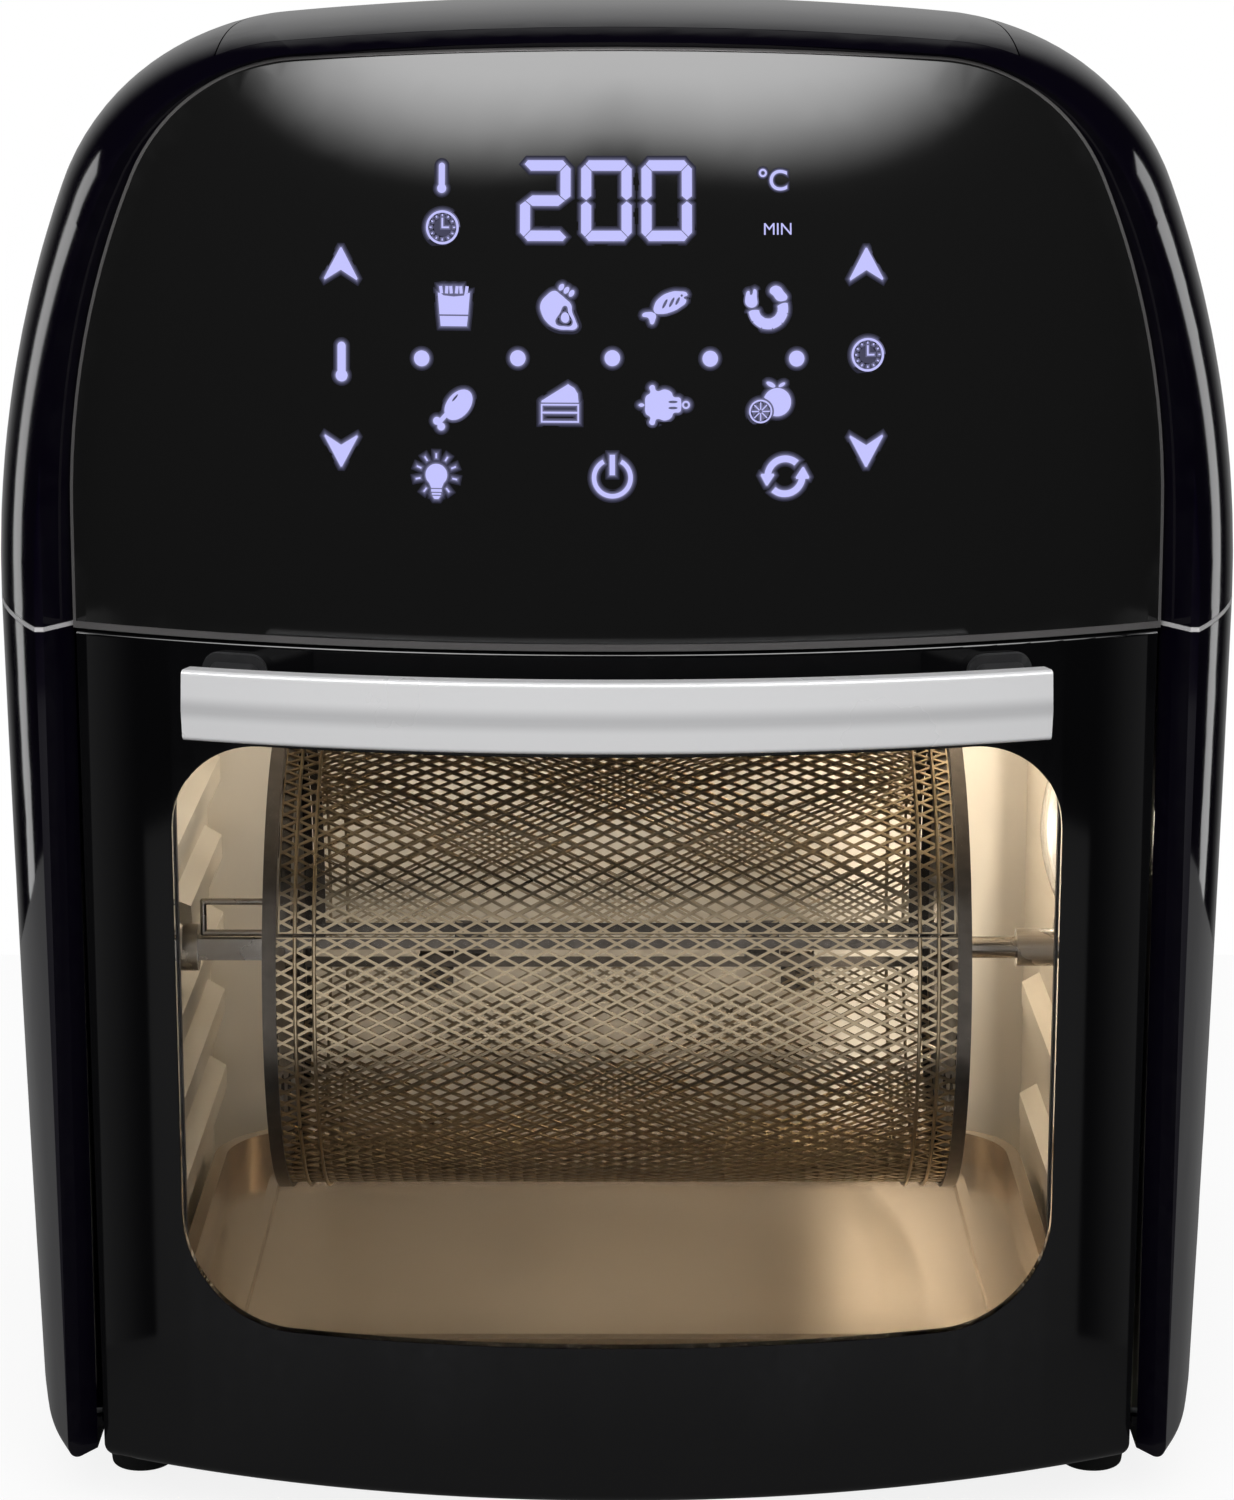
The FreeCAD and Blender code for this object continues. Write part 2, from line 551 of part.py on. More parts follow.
def make_cavity():
    y0, y1 = CAV_FRONT + 1.6, CAV_BACK - 0.1
    left = box(-CAV_HALF - SHEET, -CAV_HALF, y0, y1, CAV_FLOOR + 1, CAV_TOP - 0.1)
    ribs = []
    for z in RAILS_LEFT:
        ribs.append(rail(-CAV_HALF, -1, z, -78, 98))
    left = fuse([left] + ribs)
    left = left.cut(cyl(14.0, -CAV_HALF, 0, AX_Z, 8, "x"))
    left = left.cut(cyl(4.6, -130, 0, AX_Z, 20, "x"))
    save("cavity_left_wall", left)
    right = box(CAV_HALF, CAV_HALF + SHEET, y0, y1, CAV_FLOOR + 1, CAV_TOP - 0.1)
    ribs = [rail(CAV_HALF, 1, z, -78, 62) for z in RAILS_RIGHT]
    right = fuse([right] + ribs)
    right = right.cut(cyl(21.0, 120, LAMP_Y, LAMP_Z, 10, "x"))
    save("cavity_right_wall", right)
    back = prism_y([(-124.8, CAV_FLOOR + 1, 2), (124.8, CAV_FLOOR + 1, 2),
                    (124.8, CAV_TOP - 0.1, 2), (-124.8, CAV_TOP - 0.1, 2)],
                   CAV_BACK, CAV_BACK + SHEET)
    back = back.cut(cyl(2.6, 60, 100, 205, 10, "y"))
    save("cavity_back_wall", back)
    save("cavity_floor", box(-124.8, 124.8, y0, CAV_BACK + SHEET, CAV_FLOOR, CAV_FLOOR + SHEET))
    ceiling = box(-124.8, 124.8, y0, CAV_BACK + SHEET, CAV_TOP, CAV_TOP + SHEET)
    save("cavity_ceiling", ceiling.cut(cyl(78, 0, FAN_Y, 220, 20)))
    frame = prism_y([(-131.5, 24, 6), (131.5, 24, 6), (131.5, 231.2, 6), (-131.5, 231.2, 6)],
                    CAV_FRONT, CAV_FRONT + 1.5)
    frame = frame.cut(prism_y([(-119, VIEW_BOTTOM - 1, 10), (119, VIEW_BOTTOM - 1, 10),
                               (119, 216.5, 10), (-119, 216.5, 10)], -100, -80))
    frame = frame.cut(cyl(PLUNGER_R + RUN_GAP, 0, -100, PLUNGER_Z, 20, "y"))
    for side in (-1, 1):
        frame = frame.cut(box(side * HINGE_X - 3.2, side * HINGE_X + 3.2, -100, -80, 20, 30))
    save("cavity_front_frame", frame)
    ring = [(-124.5, 44.6, 12), (124.5, 44.6, 12), (124.5, 221.9, 12), (-124.5, 221.9, 12)]
    seal = prism_y(ring, DOOR_BACK_Y + 0.4, CAV_FRONT - 0.02)
    seal = seal.cut(prism_y(grow(ring, -4.5), -100, -80)).cut(box(-130, 130, -100, -80, 40, 58))
    save("door_seal", seal)


def make_lamp_and_sensors():
    x = CAV_HALF
    lens = Part.makeSphere(46, V(x + 41.5, LAMP_Y, LAMP_Z)).cut(
        Part.makeSphere(44.2, V(x + 41.5, LAMP_Y, LAMP_Z)))
    lens = lens.common(cyl(19.2, x - 10, LAMP_Y, LAMP_Z, 11.5, "x"))
    save("lamp_lens", lens.Solids[0])
    housing = fuse([tube(23.5, 19.4, x + 0.9, LAMP_Y, LAMP_Z, 1.4, "x"),
                    tube(21.5, 20.2, x + 1.2, LAMP_Y, LAMP_Z, 19, "x"),
                    cyl(21.5, x + 19.2, LAMP_Y, LAMP_Z, 1.4, "x")])
    save("lamp_housing", housing.cut(cyl(5.0, x + 15, LAMP_Y, LAMP_Z, 10, "x")))
    lamp = cyl(4.9, x + 1.6, LAMP_Y, LAMP_Z, 23.9, "x")
    tip = [e for e in lamp.Edges if e.BoundBox.XMax < x + 1.7]
    save("oven_lamp", lamp.makeFillet(4.2, tip))
    probe = fuse([cyl(2.5, 60, CAV_BACK - 22, 205, 30, "y"),
                  Part.makeSphere(2.5, V(60, CAV_BACK - 22, 205)),
                  cyl(5.0, 60, CAV_BACK + SHEET + 0.05, 205, 3, "y")])
    save("temperature_probe", probe)
    cut = fuse([cyl(8, -95, FAN_Y + 70, CAV_TOP + SHEET + 0.05, 9),
                box(-107, -83, FAN_Y + 67, FAN_Y + 73, CAV_TOP + SHEET + 0.05, CAV_TOP + 3),
                box(-97.5, -96.5, FAN_Y + 67, FAN_Y + 73, CAV_TOP + 9, CAV_TOP + 18),
                box(-93.5, -92.5, FAN_Y + 67, FAN_Y + 73, CAV_TOP + 9, CAV_TOP + 18)])
    save("thermal_cutout", cut)
    tray = [(-118, -82, 26), (118, -82, 26), (118, 98, 26), (-118, 98, 26)]
    top = CAV_FLOOR + 11.4
    body = prism_z(tray, CAV_FLOOR + 1.2, top)
    hollow = prism_z(grow(tray, -1.2), CAV_FLOOR + 2.2, 50)
    bead = prism_z(grow(tray, 2.5), top - 1.6, top).cut(prism_z(grow(tray, -0.6), 30, 50))
    step = prism_z(grow(tray, -14), CAV_FLOOR + 1.6, CAV_FLOOR + 4.2)
    step = step.cut(prism_z(grow(tray, -17), 20, 50))
    save("drip_tray", fuse([body.cut(hollow), bead, step]))


# ---------------------------------------------------------------- fan stack above the cavity
def blade_fan(r_hub, r_tip, z0, height, count, lean):
    hub = cyl(r_hub, 0, FAN_Y, z0, height)
    disc = cyl(r_tip, 0, FAN_Y, z0 + height - 1.2, 1.2)
    parts = [hub, disc]
    for i in range(count):
        blade = box(r_hub - 1, r_tip - 1, -0.5, 0.5, z0, z0 + height - 0.6)
        blade.rotate(V(r_hub, 0, 0), V(0, 0, 1), lean)
        blade.rotate(V(0, 0, 0), V(0, 0, 1), 360.0 / count * i)
        blade.translate(V(0, FAN_Y, 0))
        parts.append(blade.common(cyl(r_tip, 0, FAN_Y, z0, height)))
    return fuse(parts).cut(cyl(SHAFT_R, 0, FAN_Y, z0 - 1, height + 2))


def make_fans():
    t = CAV_TOP
    guard = cyl(88, 0, FAN_Y, t - 1.8, 1.2)
    for ring, count in ((20, 8), (38, 14), (56, 20), (72, 26)):
        for i in range(count):
            a = 2 * math.pi * i / count
            x, y = ring * math.cos(a), FAN_Y + ring * math.sin(a)
            guard = guard.cut(cyl(5.5, x, y, t - 5, 12))
    save("fan_guard", guard)
    rings = [Part.makeTorus(r, 3.2, V(0, FAN_Y, t + 6)) for r in (70, 56)]
    legs = [cyl(3.2, x, FAN_Y + 63, t + 6, 33) for x in (-8, 8)]
    links = [cyl(3.2, x, FAN_Y + 54, t + 6, 17, "y") for x in (-8, 8)]
    save("heating_element", fuse(rings + links + legs))
    dome = cyl(82, 0, FAN_Y, t + SHEET + 0.02, 35).cut(cyl(81, 0, FAN_Y, t, 35))
    dome = fuse([dome, tube(85, 81.2, 0, FAN_Y, t + SHEET + 0.02, 1.0)])
    dome = dome.cut(cyl(SHAFT_R + 3, 0, FAN_Y, t + 25, 20))
    for x in (-8, 8):
        dome = dome.cut(cyl(3.6, x, FAN_Y + 63, t + 25, 20))
    save("heater_dome", dome)
    save("convection_fan", blade_fan(9, 50, t + 15, 13, 12, 20))
    save("cooling_fan", blade_fan(9, 46, t + 40, 11, 14, 25))
    collar = cyl(6.5, 0, FAN_Y, t + 12.0, 2.9)
    save("fan_shaft", fuse([cyl(SHAFT_R, 0, FAN_Y, t + 11, 72), collar]))
    motor = fuse([cyl(30, 0, FAN_Y, t + 56, 34), cyl(12, 0, FAN_Y, t + 88, 7),
                  box(-8, 8, FAN_Y + 24, FAN_Y + 36, t + 64, t + 78)])
    save("fan_motor", motor.cut(cyl(SHAFT_R + RUN_GAP, 0, FAN_Y, t + 50, 34)))
    low, top = t + SHEET + 35.1, t + 55.9
    bracket = [box(-62, 62, FAN_Y - 20, FAN_Y + 20, top - 2.3, top)]
    for side in (-1, 1):
        a, b = sorted((side * 58.5, side * 60.5))
        bracket.append(box(a, b, FAN_Y - 20, FAN_Y + 20, low, top))
        a, b = sorted((side * 58.5, side * 74))
        bracket.append(box(a, b, FAN_Y - 20, FAN_Y + 20, low, low + 1.6))
    save("motor_bracket", fuse(bracket).cut(cyl(14, 0, FAN_Y, t + 40, 30)))


def make_electrics():
    x = 129.0
    board = [box(x, x + 1.6, -45, 55, 238, 296), box(x + 1.5, x + 14, -38, -14, 248, 274),
             box(x + 1.5, x + 13, 8, 26, 246, 262), box(x + 1.5, x + 11, 34, 48, 246, 270),
             cyl(5, x + 1.5, -4, 256, 12, "x"), cyl(5, x + 1.5, -4, 270, 12, "x"),
             box(x + 1.5, x + 9, 6, 30, 276, 288),
             box(x - 1.5, x + 0.1, -48, 58, CAV_TOP + SHEET + 0.1, 300),
             box(x - 14, x - 1.0, -48, 58, CAV_TOP + SHEET + 0.1, CAV_TOP + SHEET + 1.7)]
    save("power_board", fuse(board))
    xw = -CAV_HALF - SHEET
    gear = fuse([cyl(25, -149, 0, AX_Z, 18.5, "x"), cyl(9, -131, 0, AX_Z, 5.9, "x"),
                 box(-131.5, -130.5, -34, 34, AX_Z - 5, AX_Z + 5),
                 cyl(3.5, -131, -30, AX_Z, 131 + xw - 0.05, "x"),
                 cyl(3.5, -131, 30, AX_Z, 131 + xw - 0.05, "x")])
    save("rotisserie_motor", gear.cut(cyl(4.0 + RUN_GAP, -140, 0, AX_Z, 20, "x")))
    z = CAV_TOP + SHEET + 0.1
    switch = fuse([box(-10, 10, -86.2, -78.6, z, z + 11), box(-16, 16, -82, -78.6, z, z + 3)])
    save("door_switch", switch)


def make_hinge_arms():
    arms = []
    for side in (-1, 1):
        x0 = side * HINGE_X - 3.0
        eye = cyl(5.0, x0, HINGE_Y, HINGE_Z, 6.0, "x")
        bar = prism_x([(HINGE_Y, HINGE_Z - 4, 0), (-96, 22.9, 0), (-80, 21.8, 0), (-80, 25, 0),
                       (-90, 26.6, 0), (HINGE_Y, HINGE_Z + 4, 0)], x0, x0 + 6.0)
        foot = box(x0 - 6, x0 + 12, -86, -64, 21.8, 24.5)
        arm = fuse([eye, bar, foot]).cut(cyl(PIN_R + RUN_GAP, x0 - 1, HINGE_Y, HINGE_Z, 8, "x"))
        arms.append(arm)
    save("hinge_arms", compound(arms))


# ---------------------------------------------------------------- drum
def drum_sector(r_out, r_in, a0, a1, half):
    """Part of a tube about the drum axis, from angle a0 to a1 measured up from the front."""
    n = 16
    ring = tube(r_out, r_in, -half, 0, AX_Z, 2 * half, "x")
    pts = [V(-half - 1, 0, AX_Z)]
    for i in range(n + 1):
        a = math.radians(a0 + (a1 - a0) * i / n)
        pts.append(V(-half - 1, -100 * math.cos(a), AX_Z + 100 * math.sin(a)))
    pts.append(pts[0])
    wedge = Part.Face(Part.makePolygon(pts)).extrude(V(2 * half + 2, 0, 0))
    return ring.common(wedge)


def drum_bar(angle, r, width, depth, half):
    b = box(-half, half, -width / 2, width / 2, r - depth, r)
    b.rotate(V(0, 0, 0), V(1, 0, 0), 90 - angle)
    b.translate(V(0, 0, AX_Z))
    return b


def make_lid_hinges(r):
    """Two small pinned hinges outside the mesh, on the line where lid and shell meet."""
    a = math.radians(197.0)
    y, z = -LID_HINGE_R * math.cos(a), AX_Z + LID_HINGE_R * math.sin(a)
    fixed, moving, pins = [], [], []
    for side in (-1, 1):
        x = side * 48.0
        a0, a1 = sorted((x, x + 9.8 * side))
        b0, b1 = sorted((x - 0.4 * side, x - 10.2 * side))
        for group, lo, hi, leaf in ((fixed, a0, a1, (198.7, 206.0)), (moving, b0, b1, (188.0, 195.3))):
            knuckle = tube(1.5, 0.65, lo, y, z, hi - lo, "x")
            plate = drum_sector(r + 0.95, r + 0.02, leaf[0], leaf[1], 90)
            if group is fixed:
                link = drum_sector(r + 0.95, r + 0.35, 196.5, 199.5, 90)
            else:
                link = drum_sector(r + 0.95, r + 0.35, 194.5, 197.5, 90)
            piece = fuse([plate, link]).common(box(lo, hi, 0, 90, 0, 200))
            piece = piece.cut(cyl(1.45, lo - 1, y, z, hi - lo + 2, "x"))
            group.append(fuse([knuckle, piece]))
        p0, p1 = sorted((x - 10.6 * side, x + 10.2 * side))
        pins.append(cyl(0.6, p0, y, z, p1 - p0, "x"))
    print("lid hinge at y %.3f z %.3f" % (y, z))
    save("drum_hinge_pins", compound(pins))
    return fixed, moving


def make_drum():
    ends = []
    for side in (-1, 1):
        x_out = side * DRUM_HALF
        lo, hi = sorted((x_out, x_out - side * 1.0))
        disc = cyl(DRUM_R - 0.3, lo, 0, AX_Z, hi - lo, "x")
        lo, hi = sorted((x_out, x_out - side * 3.6))
        rim = tube(DRUM_R, DRUM_R - 1.0, lo, 0, AX_Z, hi - lo, "x")
        end = fuse([disc, rim])
        for i in range(12):
            a = 2 * math.pi * i / 12
            end = end.cut(cyl(6.0, x_out - 3, 42 * math.cos(a), AX_Z + 42 * math.sin(a), 6, "x"))
        ends.append(end.cut(cyl(3.3, x_out - 5, 0, AX_Z, 10, "x")))
    save("drum_ends", compound(ends))
    half = DRUM_HALF - 1.2
    lid_half = DRUM_HALF - 4.1
    r = DRUM_R - 1.15
    shell = drum_sector(r, r - 0.8, 198.5 - 360, 17.0, half)
    save("drum_shell_mesh", shell)
    lid = drum_sector(r, r - 0.8, 17.95, 195.5, lid_half)
    save("drum_lid_mesh", lid)
    strip = [drum_bar(15.9, r - 0.9, 3.0, 1.2, half),
             drum_bar(198.7, r - 0.9, 3.0, 1.2, half),
             drum_bar(287.0, r - 0.9, 4.0, 1.2, half)]
    fixed, moving = make_lid_hinges(r)
    save("drum_bars", compound(strip + fixed))
    edge = [drum_bar(19.2, r - 0.9, 3.0, 1.2, lid_half),
            drum_bar(193.8, r - 0.9, 3.0, 1.2, lid_half)]
    band = drum_sector(r - 0.85, r - 1.9, 19.2, 193.8, lid_half)
    band = band.cut(cyl(90, 3.0 - lid_half, 0, AX_Z, 2 * lid_half - 6.0, "x"))
    save("drum_lid_frame", compound([fuse(edge + [band])] + moving))
    axle_left = box(-122.0, -95.0, -3, 3, AX_Z - 3, AX_Z + 3)
    left = fuse([axle_left, cyl(3.25, -95.2, 0, AX_Z, 8, "x"), cyl(8, -95.0, 0, AX_Z, 2.4, "x"),
                 cyl(8, -91.4, 0, AX_Z, 2.0, "x")])
    right = fuse([cyl(3.0, 94.8, 0, AX_Z, 24, "x"), cyl(3.25, 87, 0, AX_Z, 8, "x"),
                  cyl(8, 92.6, 0, AX_Z, 2.4, "x"), cyl(8, 89.4, 0, AX_Z, 2.0, "x")])
    save("drum_axles", compound([left, right]))
    wire_r = 0.9
    z1 = AX_Z + 13.0
    z0 = AX_Z + 4.1
    loop = fuse([cyl(wire_r, -114.4, 0, z1, 21.8, "x"), cyl(wire_r, -114.4, 0, z0, 19.3, "x"),
                 cyl(wire_r, -114.4, 0, z0, z1 - z0), Part.makeSphere(wire_r, V(-114.4, 0, z1)),
                 Part.makeSphere(wire_r, V(-114.4, 0, z0))])
    save("drum_lift_loop", loop)
    socket = cyl(6.5, -123.8, 0, AX_Z, 8.0, "x").cut(box(-123.0, -110, -3.15, 3.15,
                                                         AX_Z - 3.15, AX_Z + 3.15))
    save("drive_coupler", fuse([socket, cyl(4.0, -139.5, 0, AX_Z, 16.0, "x")]))
    sleeve = fuse([cyl(5.2, 110.5, 0, AX_Z, 13.4, "x"), cyl(9.0, 121.6, 0, AX_Z, 2.35, "x")])
    save("drum_support", sleeve.cut(cyl(3.0 + RUN_GAP, 105, 0, AX_Z, 14.2, "x")))


def make_plunger():
    z = PLUNGER_Z
    rod = cyl(PLUNGER_R, 0, DOOR_BACK_Y - 0.4, z, 9.9, "y")
    save("switch_plunger", fuse([rod, cyl(2.3, 0, -87.6, z, 1.1, "y")]))


def main():
    os.makedirs("parts", exist_ok=True)
    make_casing()
    make_rear_and_base()
    make_panel()
    make_door()
    make_handle()
    make_cavity()
    make_lamp_and_sensors()
    make_fans()
    make_electrics()
    make_hinge_arms()
    make_drum()
    make_plunger()


main()
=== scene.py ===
"""Looks and studio of a rotisserie oven with a mesh drum, as an add-on. Metres, +Z up, front at -Y."""
import math

import bpy
from bpy.props import FloatProperty, FloatVectorProperty, PointerProperty
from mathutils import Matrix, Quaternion, Vector


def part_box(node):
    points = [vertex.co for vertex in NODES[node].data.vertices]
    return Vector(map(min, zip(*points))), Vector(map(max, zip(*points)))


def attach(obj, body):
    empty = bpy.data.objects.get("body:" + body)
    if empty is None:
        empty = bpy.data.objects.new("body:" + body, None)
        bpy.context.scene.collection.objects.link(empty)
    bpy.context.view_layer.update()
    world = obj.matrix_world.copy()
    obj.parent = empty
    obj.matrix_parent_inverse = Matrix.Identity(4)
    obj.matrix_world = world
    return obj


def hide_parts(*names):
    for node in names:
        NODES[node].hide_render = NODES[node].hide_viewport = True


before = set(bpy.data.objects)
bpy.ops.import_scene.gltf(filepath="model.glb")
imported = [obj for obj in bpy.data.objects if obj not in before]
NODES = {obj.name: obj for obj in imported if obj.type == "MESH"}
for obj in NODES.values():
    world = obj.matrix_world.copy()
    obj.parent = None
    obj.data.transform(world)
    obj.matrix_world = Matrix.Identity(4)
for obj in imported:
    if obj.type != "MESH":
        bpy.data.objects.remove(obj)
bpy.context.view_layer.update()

bl_info = {
    "name": "Rotisserie oven looks",
    "version": (1, 0, 0),
    "blender": (4, 5, 0),
    "location": "3D View > Sidebar > Oven",
    "description": "Finishes, drum mesh, lit panel signs and studio for the rotisserie oven",
    "category": "Object",
}

MM = 0.001
DRUM_LOW, DRUM_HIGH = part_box("drum_ends")
SHELL_LOW, SHELL_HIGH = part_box("drum_shell_mesh")
LID_END_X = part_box("drum_lid_mesh")[1].x
LENS_LOW, LENS_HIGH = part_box("lamp_lens")
CAVITY_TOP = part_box("cavity_back_wall")[1].z
HANDLE_LOW, HANDLE_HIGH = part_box("door_handle_bar")
AXIS_Y = (DRUM_LOW.y + DRUM_HIGH.y) / 2
AXIS_Z = (DRUM_LOW.z + DRUM_HIGH.z) / 2
SHEET_OUTER = AXIS_Z - SHELL_LOW.z
SHEET_MIDDLE = SHEET_OUTER - 0.0004

HOOP_INSETS = (0.0085, 0.0135)
HOOP_LID_GAP = 0.004

SIGN_START_Y = -0.19
SIGN_THICKNESS = 0.00004
GLOW_THICKNESS = 0.00001
GLOW_SHARES = (0.24, 0.1, 0.038)
GLOW_DROP = 0.24
DIGITS_Z = 336.7
SMALL_WORD = 5.0
WORD_BOLD = 0.00005

RUBBED_BLACK = (0.02, 0.02, 0.022)
# painted shade for the edge faces of the window panes
PAINTED_EDGE_SHADE_BLACK = (0.004, 0.004, 0.004)
WHITE = (1.0, 1.0, 1.0)

FLOOR_LOW, FLOOR_HIGH = (-0.75, -1.2), (0.75, 0.45)
FLOOR_GREY = 0.2
FLOOR_SEEN = 0.86
FLOOR_IN_GLOSS = 0.04
ROOM_DARK, ROOM_PALE = 0.003, 0.30
ROOM_PLAIN = 0.5
SHEET_SPREAD = 0.38
DOOR_STRIP_Z = 0.108


def colour(name, text, default):
    return FloatVectorProperty(name=name, description=text, size=3, subtype="COLOR", min=0.0, max=1.0,
                               default=default)


def length(name, text, default):
    return FloatProperty(name=name, description=text, unit="LENGTH", min=0.0, precision=5, default=default)


def turn(name, text, degrees):
    return FloatProperty(name=name, description=text, subtype="ANGLE", default=math.radians(degrees))


def power_of(name, text, default):
    return FloatProperty(name=name, description=text, unit="POWER", default=default)


def brightness(name, text, default):
    return FloatProperty(name=name, description=text, min=0.0, default=default)


class OvenColours(bpy.types.PropertyGroup):
    """Colours of the oven's finishes, linear."""

    casing: colour("Casing", "Gloss black moulding of the casing", (0.0020, 0.0010, 0.0052))
    door: colour("Door", "Gloss black moulding of the door", (0.0030, 0.0030, 0.0034))
    panel: colour("Control panel", "Smoked control panel", (0.0085, 0.0085, 0.0085))
    satin: colour("Satin black", "Textured black plastic at the back and inside the door",
                  (0.014, 0.014, 0.015))
    handle: colour("Handle", "Satin silver of the handle", (0.84, 0.84, 0.85))
    # painted highlight: the pale seam colour stands in for the highlight on the bevel of the casing's seam
    seam: colour("Seam painted highlight", "Pale line at the joints of the casing", (0.78, 0.77, 0.78))
    cavity: colour("Cavity walls", "Satin sheet of the cooking space", (0.78, 0.73, 0.64))
    tray: colour("Drip tray", "Polished tray", (0.62, 0.52, 0.41))
    drum: colour("Drum frame", "Dark steel of the drum's rims and bars", (0.05, 0.042, 0.035))
    wire: colour("Drum mesh", "Expanded mesh of the drum", (0.34, 0.27, 0.18))
    sign: colour("Lit signs", "Light of the panel's signs", (0.56, 0.56, 1.0))
    lamp: colour("Oven lamp", "Light of the oven lamp", (1.0, 0.89, 0.74))


class OvenDrumSizes(bpy.types.PropertyGroup):
    """Sizes of the drum's expanded mesh."""

    cell_length: length("Cell length", "Diamond's long diagonal, along the drum", 0.0073)
    cell_height: length("Cell height", "Diamond's short diagonal, round the drum", 0.0038)
    strand: length("Strand width", "Width of a strand", 0.0007)
    thickness: length("Sheet thickness", "Thickness of the mesh sheet", 0.0005)
    hoop: length("Hoop wire", "Radius of the thin hoops near both ends", 0.0005)
    shell_start: turn("Shell start", "Lower back edge of the fixed sheet, measured up from the front", -161.5)
    shell_end: turn("Shell end", "Front edge of the fixed sheet, measured up from the front", 17.0)
    lid_start: turn("Lid start", "Front edge of the lid's sheet, measured up from the front", 17.95)
    lid_end: turn("Lid end", "Back edge of the lid's sheet, measured up from the front", 195.5)


class OvenSignSizes(bpy.types.PropertyGroup):
    """Sizes of the lit signs."""

    lift: length("Lift", "Height of the signs above the panel", 0.00009)
    glow: length("Glow step", "Width of each of the glow's steps", 0.00034)
    digit_width: length("Digit width", "Width of one digit", 0.0119)
    digit_height: length("Digit height", "Height of one digit", 0.0184)
    segment: length("Segment width", "Width of one segment", 0.0024)
    strength: brightness("Strength", "Strength of the signs' light", 1.0)


class OvenStudio(bpy.types.PropertyGroup):
    """Camera, lamps and floor."""

    camera_distance: length("Camera distance", "Camera in front of the oven's middle", 1.062)
    camera_height: length("Camera height", "Camera above the floor", 0.404)
    camera_tilt: turn("Camera tilt", "Camera's tilt down from level", 12.0)
    lens: FloatProperty(name="Lens", description="Focal length", unit="CAMERA", default=95.0)
    top_strength: brightness("Top sheet", "Brightness of the sheet high in front in gloss", 11.0)
    back_strength: brightness("Back strips", "Brightness of the strips behind the sides in gloss", 0.9)
    side_strength: brightness("Side strips", "Brightness of the low strips beside the door in gloss", 1.2)
    fill_power: power_of("Fill", "Power of the broad fill lamp", 12.0)
    lamp_power: power_of("Oven lamp", "Power of the oven lamp", 1.5)
    glow_power: power_of("Cavity glow", "Power of the soft light under the ceiling", 0.55)


# ------------------------------------------------------------------ small tools
def only(obj):
    """Select obj alone and make it active."""
    bpy.ops.object.select_all(action="DESELECT")
    obj.select_set(True)
    bpy.context.view_layer.objects.active = obj


def edit_all(obj):
    """Open obj in edit mode with everything selected."""
    only(obj)
    bpy.ops.object.mode_set(mode="EDIT")
    bpy.ops.mesh.select_all(action="SELECT")


def apply_place(obj):
    """Put the object's place into its mesh."""
    only(obj)
    bpy.ops.object.transform_apply(location=True, rotation=True, scale=True)


def apply_modifiers(obj):
    only(obj)
    for modifier in list(obj.modifiers):
        bpy.ops.object.modifier_apply(modifier=modifier.name)


def hang(obj, name, body, material):
    """Name a finished piece, give it its finish and hang it on its body."""
    obj.name = name
    obj.data.name = name
    obj.data.materials.clear()
    obj.data.materials.append(material)
    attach(obj, body)


def paint(material, *names):
    """Give these solids a finish."""
    for name in names:
        for place in NODES[name].material_slots:
            place.material = material


# ------------------------------------------------------------------ shader nodes
def feed(tree, place, value):
    """Give an input a plain value, or link another node's output to it."""
    if isinstance(value, bpy.types.NodeSocket):
        tree.links.new(value, place)
    else:
        place.default_value = value


def coordinate(tree, axis, kind="Object"):
    """One axis of a texture coordinate."""
    where = tree.nodes.new("ShaderNodeTexCoord")
    split = tree.nodes.new("ShaderNodeSeparateXYZ")
    tree.links.new(where.outputs[kind], split.inputs[0])
    return split.outputs[axis]


def add_math(tree, operation, *values):
    sum_up = tree.nodes.new("ShaderNodeMath")
    sum_up.operation = operation
    for place, value in zip(sum_up.inputs, values):
        feed(tree, place, value)
    return sum_up.outputs[0]


def add_ramp(tree, value, start, end, low, high, kind="LINEAR"):
    """Low up to start, high from end on, and between them a ramp."""
    ramp = tree.nodes.new("ShaderNodeMapRange")
    ramp.interpolation_type = kind
    given = {"Value": value, "From Min": start, "From Max": end, "To Min": low, "To Max": high}
    for label, number in given.items():
        feed(tree, ramp.inputs[label], number)
    return ramp.outputs["Result"]


def add_mix(tree, share, first, second):
    blend = tree.nodes.new("ShaderNodeMix")
    for label, value in (("Factor", share), ("A", first), ("B", second)):
        feed(tree, blend.inputs[label], value)
    return blend.outputs["Result"]


def add_noise(tree, where, scale, detail):
    noise = tree.nodes.new("ShaderNodeTexNoise")
    noise.inputs["Detail"].default_value = detail
    tree.links.new(where, noise.inputs["Vector"])
    tree.links.new(scale, noise.inputs["Scale"])
    return noise.outputs["Fac"]


# ------------------------------------------------------------------ shared effects
def new_group(name, inputs, output):
    """A shader node group with float inputs (name, default) and one named float output."""
    group = bpy.data.node_groups.new(name, "ShaderNodeTree")
    for label, default in inputs:
        socket = group.interface.new_socket(label, in_out="INPUT", socket_type="NodeSocketFloat")
        socket.default_value = default
    group.interface.new_socket(output, in_out="OUTPUT", socket_type="NodeSocketFloat")
    ins = group.nodes.new("NodeGroupInput").outputs
    return group, ins, group.nodes.new("NodeGroupOutput").inputs[output]


def object_place(group):
    return group.nodes.new("ShaderNodeTexCoord").outputs["Object"]


def gloss_group():
    """Slow change of gloss over a surface."""
    inputs = [("Scale", 20.0), ("Least", 0.1), ("Most", 0.2)]
    group, ins, out = new_group("Gloss variation", inputs, "Roughness")
    cloud = add_noise(group, object_place(group), ins["Scale"], 4.0)
    group.links.new(add_ramp(group, cloud, 0.3, 0.7, ins["Least"], ins["Most"]), out)
    return group


